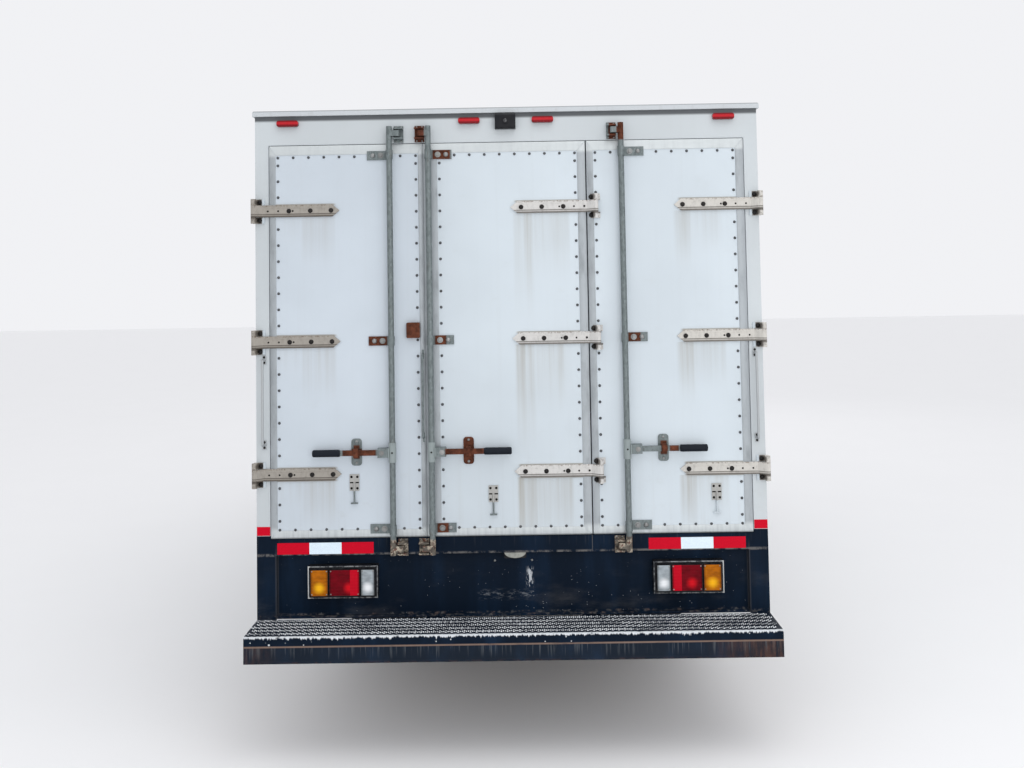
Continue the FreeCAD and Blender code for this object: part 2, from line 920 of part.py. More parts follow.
def keeper(rod_x, way, z):
    """A plate on the rear frame with a lip over and under the rod's nose, open to the rear."""
    near = rod_x + way * (rod_radius + move_gap)
    x = sorted((near, near + way * keeper_width))
    plate = block(x, (rear_y - keeper_plate, rear_y), about(z, keeper_height))
    pieces = [plate]
    for sign in (1, -1):
        inner = z + sign * (nose_height / 2 + keeper_play)
        lip_z = sorted((inner, inner + sign * keeper_lip_thick))
        lip = block(x, (rear_y - keeper_plate - keeper_lip, rear_y - keeper_plate), lip_z)
        pieces.append(lip)
    return fuse(pieces)


def lock_keepers():
    pieces = []
    for rod_x, way in ((left_rod_x, 1), (centre_rod_x, -1), (right_rod_x, -1)):
        for z in (nose_low_z, nose_high_z):
            pieces.append(keeper(rod_x, way, z))
    return pieces


def grab_handle(x, y_face, low_z, length, radius, out, foot_width):
    """A bar bent back at both ends onto two flat feet."""
    z = (low_z + grab_foot_height / 2, low_z + length - grab_foot_height / 2)
    seat_y = y_face - grab_foot_thick
    route = [(x, seat_y, z[0]), (x, y_face - out, z[0]), (x, y_face - out, z[1]), (x, seat_y, z[1])]
    pieces = [bent_rod(radius, route, radius * grab_bend_share)]
    for foot_z in z:
        pieces.append(block(about(x, foot_width), (seat_y, y_face), about(foot_z, grab_foot_height)))
    return fuse(pieces)


def rear_fittings():
    """What is bolted to the rear frame: outer hinge butts, rod keepers and the two grab handles."""
    pieces = []
    for z in hinge_heights():
        pieces += [outer_butt(1, z), outer_butt(-1, z)]
    pieces += lock_keepers()
    for sign in (1, -1):
        pieces.append(grab_handle(sign * grab_x, rear_y, grab_low_z, grab_length,
                                  grab_radius, grab_out, grab_foot_width))
    return pieces


def hook(x, z):
    """A small hook latch's plate with its rod, which hangs."""
    face = rear_y - door_proud
    plate = block(about(x, hook_width), (face - hook_thick, face), (z - hook_height / 2, z + hook_height / 2))
    bar_y = face - hook_thick - hook_bar_radius
    foot_z = z - hook_height / 2 - hook_bar_drop
    stem = rod(hook_bar_radius, (x, bar_y, z), (x, bar_y, foot_z))
    ends = about(x, hook_bar_width)
    cross = rod(hook_bar_radius, (ends[0], bar_y, foot_z), (ends[1], bar_y, foot_z))
    return fuse([plate, stem, cross])


def left_door():
    panel = door_panel(-outer_door_x, left_door_edge_x)
    straps = [strap(-outer_pin_x, 1, z) for z in hinge_heights()]
    face = rear_y - door_proud
    pull = grab_handle(pull_x, face, pull_low_z, pull_length, pull_radius, pull_out, pull_foot_width)
    catch = block(about(catch_x, catch_width), (rear_y - catch_depth, face), about(catch_z, catch_height))
    catch = round_edges(catch, catch_depth * catch_round_share, lambda e: runs_along(e, "y"))
    gear = lock_gear(left_rod_x, 1, -1, -1)
    return [panel], straps + gear + [pull, catch, hook(*hook_places[0])]


def centre_door():
    panel = door_panel(centre_door_left_x, centre_door_right_x)
    straps = [strap(centre_pin_x, -1, z) for z in hinge_heights()]
    gear = lock_gear(centre_rod_x, -1, 1, 1)
    return [panel], straps + gear + [hook(*hook_places[1])]


def right_door():
    panel = door_panel(right_door_edge_x, outer_door_x)
    straps = [strap(outer_pin_x, -1, z) for z in hinge_heights()]
    plate_x = about(centre_pin_x, butt_width)
    butts = [butt(centre_pin_x, rear_y - door_proud, plate_x, z) for z in hinge_heights()]
    gear = lock_gear(right_rod_x, -1, 1, 1)
    return [panel], straps + butts + gear + [hook(*hook_places[2])]


def marker_lamps():
    lamps = []
    for x in marker_x:
        lamp = block(about(x, marker_length), (rear_y - marker_depth, rear_y), about(marker_z, marker_height))
        lamps.append(round_edges(lamp, marker_height * lamp_round_share, lambda e: runs_along(e, "y")))
    return lamps


def rear_camera():
    front = rear_y - camera_depth
    body = block(about(0, camera_width), (front, rear_y), about(camera_z, camera_height))
    body = round_edges(body, camera_depth * lamp_round_share,
                       lambda e: runs_along(e, "x") and e.BoundBox.YMax < rear_y)
    lens = rod(camera_lens_radius, (0, rear_y, camera_z), (0, front - camera_lens_rise, camera_z))
    return [fuse([body, lens])]


def tail_lamps():
    """A rimmed housing on each side, with a clear, a red and an amber lens from the middle outwards."""
    pieces = []
    y_back = rear_y + panel_recess
    y_front = y_back - tail_lamp_depth
    for x in tail_lamp_x:
        sign = 1 if x > 0 else -1
        housing = block(about(x, tail_lamp_length), (y_front, y_back), about(tail_lamp_z, tail_lamp_height))
        housing = round_edges(housing, tail_lamp_rim * lamp_round_share, lambda e: runs_along(e, "y"))
        inner = x - sign * (tail_lamp_length / 2 - tail_lamp_rim)
        amber_lens = tail_lamp_length - 2 * (tail_lamp_rim + lens_gap) - clear_lens - red_lens
        lenses = []
        for width in (clear_lens, red_lens, amber_lens):
            ends = sorted((inner, inner + sign * width))
            lens_z = about(tail_lamp_z, tail_lamp_height - 2 * tail_lamp_rim)
            lenses.append(block(ends, (y_front - lens_depth, y_front), lens_z))
            inner += sign * (width + lens_gap)
        pieces.append(fuse([housing] + lenses))
    low = sill_bottom_z - plate_lamp_height
    lamp_y = (y_back - plate_lamp_depth, y_back)
    lamp = block(about(plate_lamp_x, plate_lamp_width), lamp_y, (low, sill_bottom_z))
    pieces.append(round_edges(lamp, plate_lamp_height * lamp_round_share,
                              lambda e: runs_along(e, "y") and e.BoundBox.ZMax < sill_bottom_z))
    return pieces


def fuel_tank():
    """A long rounded tank on the left rail, held by two straps and two brackets."""
    x = (-rail_half - tank_gap - tank_width, -rail_half - tank_gap)
    y = (tank_back_y, tank_back_y + tank_length)
    z = (tank_top_z - tank_height, tank_top_z)
    tank = round_edges(block(x, y, z), tank_radius, lambda e: runs_along(e, "y"))
    pieces = [tank]
    for share in strap_shares:
        strap_y = about(y[0] + tank_length * share, tank_strap_width)
        band = block((x[0] - tank_strap_thick, x[1] + tank_strap_thick), strap_y,
                     (z[0] - tank_strap_thick, z[1] + tank_strap_thick))
        band = round_edges(band, tank_radius + tank_strap_thick, lambda e: runs_along(e, "y"))
        bracket = block((x[1] - tank_radius, -rail_half), strap_y,
                        (rail_bottom_z + rail_web, z[1] - tank_radius))
        pieces += [band, bracket]
    return [fuse(pieces)]


def battery_box():
    """A lidded box hung on the right rail."""
    x = (rail_half, rail_half + battery_width)
    y = (tank_back_y, tank_back_y + battery_length)
    z = (tank_top_z - battery_height, tank_top_z)
    body = round_edges(block(x, y, z), battery_radius, lambda e: runs_along(e, "z"))
    lid_x = (x[0], x[1] + battery_lid_lip)
    lid_y = (y[0] - battery_lid_lip, y[1] + battery_lid_lip)
    lid = block(lid_x, lid_y, (z[1] - battery_lid_height, z[1]))
    lid = round_edges(lid, battery_radius, lambda e: runs_along(e, "z"))
    return [fuse([body, lid])]


def exhaust():
    """A silencer under the right of the frame with a pipe forward and a tail pipe out to the side."""
    y = (exhaust_y, exhaust_y + silencer_length)
    drum = rod(silencer_radius, (silencer_x, y[0], silencer_z), (silencer_x, y[1], silencer_z))
    drum = round_edges(drum, silencer_radius * silencer_round_share, lambda e: True)
    inlet_y = y[1] + inlet_length
    inlet = bent_rod(pipe_radius, [(silencer_x, y[1] - cut_overrun, silencer_z),
                                   (silencer_x, inlet_y, silencer_z),
                                   (engine_width / 2 + pipe_radius, inlet_y, silencer_z)], pipe_bend)
    outlet_y = y[0] - tail_run
    outlet = bent_rod(pipe_radius, [(silencer_x, y[0] + cut_overrun, silencer_z),
                                    (silencer_x, outlet_y, silencer_z),
                                    (tail_pipe_x, outlet_y, silencer_z - pipe_radius)], pipe_bend)
    hanger_y = about((y[0] + y[1]) / 2, tank_strap_width)
    hanger_z = (silencer_z + silencer_radius * hanger_share, rail_top_z - cross_member_drop)
    hanger = block((rail_half, silencer_x), hanger_y, hanger_z)
    return [fuse([drum, inlet, outlet, hanger])]


def engine():
    """Engine and gearbox as one plain block of their real size between the rails."""
    y1 = cab_front_y - engine_setback
    body = block(about(0, engine_width), (y1 - engine_length, y1), (engine_bottom_z, engine_top_z))
    sump = block(about(0, gearbox_width), (y1 - engine_length * sump_share, y1 - gearbox_width * sump_share),
                 (sump_low_z, engine_bottom_z))
    gear_z = (engine_bottom_z, engine_bottom_z + gearbox_height)
    y0 = y1 - engine_length
    gearbox = block(about(0, gearbox_width), (y0 - gearbox_length, y0), gear_z)
    mount_y = about((y0 + y1 - mount_width) / 2, mount_width)
    mount = block((-rail_inner, rail_inner), mount_y, (mount_z, mount_z + mount_width))
    body = round_edges(body, engine_round, lambda e: runs_along(e, "y"))
    radiator_y = (cab_front_y - radiator_setback - radiator_thick, cab_front_y - radiator_setback)
    radiator = block(about(0, radiator_width), radiator_y, (radiator_low_z, radiator_top_z))
    hose = rod(pipe_radius, (0, y1, radiator_hose_z), (0, radiator_y[0], radiator_hose_z))
    return [fuse([body, sump, gearbox, mount, radiator, hose])]


def crosswise(radius, x, y):
    """A round bar along X at the height of the axles."""
    return rod(radius, (x[0], y, axle_z), (x[1], y, axle_z))


def rear_axle():
    """Tube, round differential, brake flanges, spindles, and the propeller shaft up to the gearbox."""
    tube_end = twin_hub_inner_x
    tube = crosswise(axle_tube_radius, (-tube_end, tube_end), rear_axle_y)
    pot = crosswise(diff_radius, about(0, diff_half_width), rear_axle_y)
    pot = round_edges(pot, diff_half_width * diff_round_share, lambda e: True)
    spindle = crosswise(hub_bore_radius - fit_gap, (-spindle_end_x, spindle_end_x), rear_axle_y)
    snout_y = rear_axle_y + diff_radius + shaft_end_length
    snout = rod(shaft_end_radius, (0, rear_axle_y, axle_z), (0, snout_y, axle_z))
    gearbox_back = cab_front_y - engine_setback - engine_length - gearbox_length
    gearbox_z = engine_bottom_z + gearbox_height / 2
    slope = (gearbox_z - axle_z) / (gearbox_back - snout_y)
    shaft_y = gearbox_back - shaft_radius * slope - seat_gap
    shaft = rod(shaft_radius, (0, snout_y - cut_overrun, axle_z), (0, shaft_y, gearbox_z))
    seats = []
    for sign in (1, -1):
        x = about(sign * spring_x, spring_width)
        top = axle_z + axle_tube_radius + spring_seat_height
        seats.append(block(x, about(rear_axle_y, spring_width * seat_share), (axle_z, top)))
    return [fuse([tube, pot, spindle, snout, shaft] + seats)]


def leaf_spring(y_mid, low_z, length, count, rise):
    """A pack of curved leaves, each shorter than the one above, with eyes in hangers on the rail."""
    pieces = []
    for i in range(count):
        span = length * (1 - i * leaf_step_share)
        z = low_z + (count - 1 - i) * leaf_thick
        end_rise = rise * (span / length) ** 2
        y = about(y_mid, span)
        arch = Part.Arc(V(0, y[0], z + end_rise), V(0, y_mid, z), V(0, y[1], z + end_rise)).toShape()
        over = arch.translated(V(0, 0, leaf_thick))
        ends = [Part.makeLine(arch.Vertexes[k].Point, over.Vertexes[k].Point) for k in (0, 1)]
        face = Part.Face(Part.Wire(Part.__sortEdges__([arch, ends[1], over, ends[0]])))
        pieces.append(face.extrude(V(spring_width, 0, 0)))
    top = low_z + (count - 1) * leaf_thick
    eye_z = top + rise + leaf_thick / 2
    for sign in (1, -1):
        eye_y = y_mid + sign * length / 2
        pieces.append(rod(spring_eye_radius, (0, eye_y, eye_z), (spring_width, eye_y, eye_z)))
        pieces.append(block((0, spring_width), about(eye_y, spring_eye_radius * 2), (eye_z, rail_bottom_z)))
    spring = fuse(pieces)
    spring.translate(V(spring_x - spring_width / 2, 0, 0))
    return both(spring)


def leaf_springs():
    front_low = beam_z + beam_height / 2
    rear_low = axle_z + axle_tube_radius + spring_seat_height
    return (leaf_spring(front_axle_y, front_low, front_spring_length, front_leaf_count, front_spring_camber) +
            leaf_spring(rear_axle_y, rear_low, rear_spring_length, rear_leaf_count, rear_spring_camber))


def front_axle():
    """An I-section beam with a forged eye and its kingpin at each end."""
    z = about(beam_z, beam_height)
    beam_end = kingpin_x - kingpin_boss_radius - move_gap
    beam = block((-beam_end, beam_end), about(front_axle_y, beam_width), z)
    groove_z = about(beam_z, beam_height * beam_groove_share)
    for sign in (1, -1):
        y_face = front_axle_y + sign * beam_width / 2
        y = sorted((y_face - sign * beam_width * beam_web_share, y_face + sign * cut_overrun))
        beam = beam.cut(block((-spring_x, spring_x), y, groove_z))
    pieces = [beam]
    boss_z = about(axle_z, kingpin_boss_height)
    ends = about(axle_z, kingpin_boss_height + 2 * (knuckle_ear_height + knuckle_play))
    for sign in (1, -1):
        centre = (sign * kingpin_x, front_axle_y)
        neck_x = sorted((sign * (beam_end - kingpin_boss_height), sign * kingpin_x))
        neck_y = about(front_axle_y, beam_width - beam_neck)
        pieces.append(block(neck_x, neck_y, (boss_z[0], boss_z[1] - beam_neck)))
        pieces.append(upright(kingpin_boss_radius, *centre, boss_z))
        pieces.append(upright(kingpin_radius, *centre, ends))
    return [fuse(pieces)]


def knuckle(sign):
    """A forged yoke round the kingpin with a spindle for the wheel and a brake back plate."""
    x = kingpin_x
    y = front_axle_y
    bore_z = about(axle_z, kingpin_boss_height + 2 * (knuckle_ear_height + knuckle_play))
    pieces = []
    yoke_x = (x + kingpin_boss_radius + move_gap, x + kingpin_boss_radius + move_gap + yoke_thick)
    pieces.append(block(yoke_x, about(y, kingpin_boss_radius * 2), bore_z))
    for side in (1, -1):
        ear = axle_z + side * (kingpin_boss_height / 2 + knuckle_play)
        z = sorted((ear, ear + side * knuckle_ear_height))
        pieces.append(upright(kingpin_boss_radius, x, y, z))
        pieces.append(block((x, yoke_x[1]), about(y, kingpin_boss_radius * 2), z))
    plate_x = yoke_x[1]
    pieces.append(crosswise(back_plate_radius, (plate_x, plate_x + back_plate_thick), y))
    pieces.append(crosswise(hub_bore_radius - fit_gap, (plate_x, front_spindle_end_x), y))
    whole = fuse(pieces)
    whole = whole.cut(upright(kingpin_radius + fit_gap, x, y, past(bore_z)))
    return [whole if sign > 0 else flip(whole)]


def tyre(x):
    """A tyre whose sidewalls bulge between the bead and the shoulder."""
    half = tyre_width / 2
    bead = half - tyre_shoulder - wheel_track_gap
    foot = tyre_bead_radius
    span = tyre_radius - foot
    bulge = foot + span * bulge_share
    edge = foot + span * shoulder_share
    crown = half - tyre_shoulder

    def at(a, r):
        return V(x + a, 0, r)

    tread_edge = tyre_radius - crown_drop
    edges = [Part.makeLine(at(-bead, foot), at(bead, foot))]
    for sign in (1, -1):
        heel = at(sign * bead, foot + tyre_wall)
        shoulder = at(sign * (half - tyre_wall / 2), edge)
        edges.append(Part.makeLine(at(sign * bead, foot), heel))
        edges.append(Part.Arc(heel, at(sign * half, bulge), shoulder).toShape())
        edges.append(Part.makeLine(shoulder, at(sign * crown, tread_edge)))
    edges.append(Part.Arc(at(-crown, tread_edge), at(0, tyre_radius), at(crown, tread_edge)).toShape())
    wire = Part.Wire(Part.__sortEdges__(edges))
    return Part.Face(wire).revolve(V(0, 0, 0), V(1, 0, 0), 360)


def placed(shape, y):
    shape.translate(V(0, y, axle_z))
    return shape


def rim(x, way):
    """A rolled rim with its dished disc. way says to which side of the tyre the disc is set."""
    half = rim_width / 2
    inner = rim_radius - rim_wall
    barrel = [(-half, rim_flange_radius), (-half - rim_wall, rim_flange_radius), (-half - rim_wall, inner),
              (half + rim_wall, inner), (half + rim_wall, rim_flange_radius), (half, rim_flange_radius),
              (half, rim_radius), (-half, rim_radius)]
    flat = way * disc_flat_out
    root = way * disc_root_out
    thick = way * disc_thick
    disc = [(root, inner), (root - way * disc_root_thick, inner), (flat - thick, disc_radius),
            (flat - thick, hub_bore_radius),
            (flat, hub_bore_radius), (flat, disc_radius)]
    return [revolve_x(barrel, x, 0, 0), revolve_x(disc, x, 0, 0)]


def disc_holes(x_near, x_far):
    """The round hand holes that let air through the disc."""
    holes = []
    for i in range(hand_hole_count):
        turn = 2 * math.pi * i / hand_hole_count
        y, z = hand_hole_circle * math.cos(turn), hand_hole_circle * math.sin(turn)
        holes.append(rod(hand_hole_radius, (x_near, y, z), (x_far, y, z)))
    return holes


def hub_bolts(x_near, x_far):
    bolts = []
    for i in range(hub_bolt_count):
        turn = 2 * math.pi * i / hub_bolt_count
        y, z = hub_bolt_circle * math.cos(turn), hub_bolt_circle * math.sin(turn)
        bolts.append(rod(hub_bolt_radius, (x_near, y, z), (x_far, y, z)))
    return bolts


def front_wheel():
    """Rim, disc, hub, drum and nuts of a front wheel, turning as one."""
    start = kingpin_x + kingpin_boss_radius + move_gap + yoke_thick + back_plate_thick + wheel_track_gap
    disc_x = front_disc_x
    pieces = rim(front_wheel_x, 1)
    pieces.append(rod(front_hub_radius, (start, 0, 0), (disc_x + disc_thick, 0, 0)))
    pieces.append(rod(drum_radius, (start + drum_inset, 0, 0), (start + drum_inset + drum_width, 0, 0)))
    pieces.append(rod(hub_cap_radius, (disc_x, 0, 0), (disc_x + hub_cap_length, 0, 0)))
    pieces += hub_bolts(disc_x - disc_thick, disc_x + hub_bolt_rise)
    whole = cut(fuse(pieces), disc_holes(start + drum_inset + drum_width + disc_thick, disc_x + cut_overrun))
    bore_end = front_spindle_end_x + move_gap
    whole = whole.cut(rod(hub_bore_radius, (start - cut_overrun, 0, 0), (bore_end, 0, 0)))
    return placed(whole, front_axle_y)


def twin_wheel():
    """The two rims of a rear pair with the hub and drum between them, turning as one."""
    half = twin_spacing / 2
    pieces = rim(twin_x - half, 1) + rim(twin_x + half, -1)
    reach = half - disc_flat_out
    start = twin_hub_inner_x + move_gap
    pieces.append(rod(rear_hub_radius + rear_drum_step, (twin_x - reach, 0, 0), (twin_x + reach, 0, 0)))
    pieces.append(rod(rear_hub_radius, (start, 0, 0), (twin_x + reach + hub_cap_length, 0, 0)))
    pieces.append(rod(drum_radius, (start, 0, 0), (start + drum_width, 0, 0)))
    pieces.append(rod(hub_cap_radius, (twin_x, 0, 0), (twin_x + reach + 2 * hub_cap_length, 0, 0)))
    pieces += hub_bolts(twin_x, twin_x + reach + hub_bolt_rise)
    whole = cut(fuse(pieces), disc_holes(start + drum_width + disc_thick, twin_x + half))
    whole = whole.cut(rod(hub_bore_radius, (start - cut_overrun, 0, 0), (spindle_end_x + move_gap, 0, 0)))
    return placed(whole, rear_axle_y)


def front_tyre():
    return placed(tyre(front_wheel_x), front_axle_y)


def twin_tyres():
    half = twin_spacing / 2
    return [placed(tyre(twin_x + side * half), rear_axle_y) for side in (1, -1)]


def mudflaps():
    """A rubber flap behind each pair of rear wheels, hung from a bar on the rail."""
    y = about(rear_axle_y - tyre_radius - flap_behind, flap_thick)
    x = about(flap_x, flap_width)
    flap = block(x, y, (flap_low_z, flap_bar_z))
    bar_y = (y[0] - flap_bar, y[1] + flap_bar / 2)
    bar = block((rail_half, x[1]), bar_y, (flap_bar_z, flap_bar_z + flap_bar / 2))
    return both(fuse([flap, bar]))


def front_bumper():
    """A shallow steel channel with rounded corners and two holes for a plate that isn't fitted."""
    half = front_bumper_width / 2
    y = (nose_y - bumper_depth, nose_y)
    z = (front_bumper_low_z, front_bumper_top_z)
    body = round_edges(block((-half, half), y, z), front_bumper_radius, lambda e: e.BoundBox.YMin > y[0])
    wall = front_bumper_wall
    hollow = block((-half + wall, half - wall), (y[0] - cut_overrun, y[1] - wall), (z[0] + wall, z[1] - wall))
    holes = [rod(plate_hole_radius, (x, y[0], plate_hole_z), (x, y[1] + cut_overrun, plate_hole_z))
             for x in about(0, plate_hole_spacing)]
    return [cut(body, [hollow] + holes)]


def back_from_front(setback):
    return cab_front_y - setback


def screen_y(z):
    """Where the raked front face stands at a height."""
    rise = (z - cab_waist_z) / (screen_top_z - cab_waist_z)
    return back_from_front(cab_waist_setback + rise * (screen_top_setback - cab_waist_setback))


def face_y(z, wall, foot_z):
    """Where the upright front stands at a height below the waist, a wall's thickness in."""
    return back_from_front(wall + cab_waist_setback * (z - foot_z) / (cab_waist_z - foot_z))


def cab_outline(inset, front_inset, back_inset, low_z):
    """The cab's side view, drawn in by its walls."""
    roof = roof_rear_z - inset
    return [(back_from_front(front_inset), low_z),
            (back_from_front(cab_waist_setback + front_inset), cab_waist_z),
            (back_from_front(screen_top_setback + front_inset), screen_top_z - inset / 2),
            (back_from_front(roof_front_setback + inset), roof_front_z - inset),
            (back_from_front(roof_rear_setback - inset), roof),
            (cab_back_y + back_inset, roof - roof_back_drop + inset),
            (cab_back_y + back_inset, low_z)]


def door_face():
    """The cab door's outline in its own plane, with the wheel arch taken out of its lower corner."""
    front = back_from_front(cab_door_front_setback)
    rear = back_from_front(cab_door_rear_setback)
    rake = screen_y(cab_door_high_z) - screen_y(cab_waist_z)
    points = [(front, cab_door_low_z), (front, cab_waist_z), (front + rake, cab_door_high_z),
              (rear, cab_door_high_z), (rear, cab_door_low_z)]
    corners = [V(0, y, z) for y, z in points]
    face = Part.Face(Part.makePolygon(corners + corners[:1]))
    arch = Part.Face(Part.Wire(Part.makeCircle(door_arch_radius, V(0, front_axle_y, axle_z), V(1, 0, 0))))
    return face.cut(arch).Faces[0]


def window_outline(inset):
    front = back_from_front(cab_door_front_setback)
    rear = back_from_front(cab_door_rear_setback)
    rise = (window_low_z - cab_waist_z) / (cab_door_high_z - cab_waist_z)
    rake = screen_y(cab_door_high_z) - screen_y(cab_waist_z)
    low = window_low_z + inset
    high = cab_door_high_z - window_frame - inset
    frame = window_frame + inset
    return [(front + rake * rise - frame - inset, low),
            (front + rake * window_rake_share - frame - inset, high),
            (rear + frame, high), (rear + frame, low)]


def cab_hinge(z, part):
    """A knuckle of a cab door's outside hinge. part is 'cab' for lugs and pin, 'door' for the barrel."""
    x = cab_half + cab_hinge_radius
    y = back_from_front(cab_door_front_setback) + cab_door_gap / 2
    ends = about(z, cab_hinge_height)
    leaf_x = (cab_half, cab_half + cab_hinge_leaf_thick)
    if part == "door":
        barrel = upright(cab_hinge_radius, x, y, ends)
        leaf = block(leaf_x, (y - cab_hinge_leaf, y), ends)
        bore = upright(cab_hinge_pin + fit_gap, x, y, past(ends))
        return fuse([barrel, leaf]).cut(bore)
    pieces = [upright(cab_hinge_pin, x, y, (z - cab_hinge_height, z + cab_hinge_height))]
    for sign in (1, -1):
        ends = sorted((z + sign * (cab_hinge_height / 2 + barrel_play), z + sign * cab_hinge_height))
        pieces.append(upright(cab_hinge_radius, x, y, ends))
        pieces.append(block(leaf_x, (y, y + cab_hinge_leaf), ends))
    return fuse(pieces)


def cab_hull():
    """The cab's outside, rounded, with the room under its floor and round its steps taken away."""
    outer = side_plate(cab_outline(0, 0, 0, step_low_z), (-cab_half, cab_half))
    outer = round_edges(outer, cab_edge_radius, lambda e: e.BoundBox.ZMax > step_low_z + cab_floor_thick)
    behind, ahead = cab_back_y - cut_overrun, cab_front_y + cut_overrun
    step_y = (back_from_front(step_back_setback), back_from_front(step_front_setback))
    wide = (-cab_half - cut_overrun, cab_half + cut_overrun)
    inner = cab_half - cab_side_wall
    under = step_low_z - cut_overrun
    front = back_from_front(cab_front_wall)
    above_steps = (cab_door_low_z - cab_door_gap, cab_floor_z)
    rooms = [block((-inner, inner), (behind, step_y[0]), (under, cab_floor_z)),
             block((-cab_half + step_width, cab_half - step_width), step_y, (under, cab_floor_z)),
             block((-inner, inner), (step_y[0], front), above_steps),
             block((-inner, inner), (step_y[1], front), (under, cab_floor_z)),
             block(wide, (step_y[1], ahead), (under, front_panel_low_z)),
             block(wide, (behind, step_y[0]), (under, skirt_low_z))]
    return cut(outer, rooms)


def cab_shell():
    """Hollow cab with its windscreen and door openings, wheel arches, steps, engine tunnel and tilt lugs."""
    lug_x = about(pivot_lug_x, pivot_lug_width)
    lug = block(lug_x, (pivot_y - pivot_lug_reach, pivot_y + pivot_lug_reach), (pivot_z, cab_floor_z))
    ring = rod(pivot_lug_reach, (lug_x[0], pivot_y, pivot_z), (lug_x[1], pivot_y, pivot_z))
    inner_half = cab_half - cab_side_wall
    inner_outline = cab_outline(cab_roof_wall, cab_front_wall, cab_back_wall, cab_floor_z + cab_floor_thick)
    inside = side_plate(inner_outline, (-inner_half, inner_half))
    tunnel = block((-tunnel_half - tunnel_wall, tunnel_half + tunnel_wall),
                   (cab_back_y - cut_overrun, back_from_front(tunnel_setback - tunnel_wall)),
                   (cab_floor_z, tunnel_top_z + tunnel_wall))
    whole = cab_hull().cut(inside.cut(tunnel))
    tools = [block((-tunnel_half, tunnel_half), (cab_back_y - cut_overrun, back_from_front(tunnel_setback)),
                   (step_low_z, tunnel_top_z))]
    screen_back_y = screen_y(screen_high_z) - screen_cut_depth
    tools.append(block((-screen_half, screen_half), (screen_back_y, cab_front_y + cut_overrun),
                       (screen_low_z, screen_high_z)))
    opening = door_face().makeOffset2D(cab_door_gap, 2)
    opening.translate(V(inner_half - cut_overrun, 0, 0))
    opening = opening.extrude(V(cab_side_wall + 2 * cut_overrun, 0, 0))
    arch = rod(arch_radius, (cab_half - step_width - cut_overrun, front_axle_y, axle_z),
               (cab_half + cut_overrun, front_axle_y, axle_z))
    pocket_y = (back_from_front(step_back_setback - step_wall),
                back_from_front(step_front_setback + step_wall))
    pocket = block((cab_half - step_width + step_wall, cab_half + cut_overrun), pocket_y,
                   (step_low_z + step_wall, cab_door_low_z))
    tools += both(opening) + both(arch) + both(pocket)
    whole = cut(whole, tools)
    knuckles = []
    for z in cab_hinge_z:
        knuckles += both(cab_hinge(z, "cab"))
    whole = fuse([whole] + both(fuse([lug, ring])) + knuckles)
    reach = pivot_lug_x + pivot_lug_width
    return [whole.cut(rod(pivot_radius + pivot_play, (-reach, pivot_y, pivot_z), (reach, pivot_y, pivot_z)))]


def cab_glass():
    """The flat windscreen, let into the raked front."""
    low, high = screen_low_z + seat_gap, screen_high_z - seat_gap
    low_y, high_y = screen_y(low) - glass_depth, screen_y(high) - glass_depth
    outline = [(low_y, low), (high_y, high), (high_y - glass_thick, high), (low_y - glass_thick, low)]
    half = screen_half - seat_gap
    return [side_plate(outline, (-half, half))]


def cab_door():
    """The right cab door, as thick as the cab's side, with its window cut out and its handle."""
    slab = door_face()
    slab.translate(V(cab_half - cab_side_wall, 0, 0))
    slab = slab.extrude(V(cab_side_wall, 0, 0))
    window = side_plate(window_outline(0), (cab_half - cab_side_wall - cut_overrun, cab_half + cut_overrun))
    pieces = [slab.cut(window)]
    rear = back_from_front(cab_door_rear_setback) + window_frame
    y = (rear, rear + door_handle_length)
    z = about(door_handle_z, door_handle_height)
    bar = block((cab_half + door_handle_out - door_handle_height / 2, cab_half + door_handle_out), y, z)
    pieces.append(bar)
    for foot_y in ((y[0], y[0] + door_handle_foot), (y[1] - door_handle_foot, y[1])):
        pieces.append(block((cab_half, cab_half + door_handle_out), foot_y, z))
    pieces += [cab_hinge(hinge_z, "door") for hinge_z in cab_hinge_z]
    return fuse(pieces)


def door_glass():
    middle = cab_half - cab_side_wall / 2
    return side_plate(window_outline(seat_gap), about(middle, glass_thick))


def front_plate(x, z, depth):
    """A plate on the cab's upright front, its back laid against the face."""
    outline = [(face_y(height, 0, step_low_z) + seat_gap, height) for height in z]
    outline += [(cab_front_y + depth, z[1]), (cab_front_y + depth, z[0])]
    return side_plate(outline, x)


def grille():
    """A framed grille of level bars on the cab's front."""
    frame = front_plate((-grille_half, grille_half), (grille_low_z, grille_high_z), grille_depth)
    room = grille_high_z - grille_low_z - 2 * grille_frame
    pitch = (room + grille_bar) / (grille_bar_count + 1)
    slots = []
    for i in range(grille_bar_count + 1):
        low = grille_low_z + grille_frame + i * pitch
        slots.append(block((-grille_half + grille_frame, grille_half - grille_frame),
                           (cab_front_y - grille_frame, cab_front_y + grille_depth + cut_overrun),
                           (low, low + pitch - grille_bar)))
    return [cut(frame, slots)]


def headlamps():
    lamp = front_plate((headlamp_near_x, headlamp_far_x), (headlamp_low_z, headlamp_high_z), headlamp_depth)
    return both(round_edges(lamp, headlamp_round, lambda e: runs_along(e, "y")))


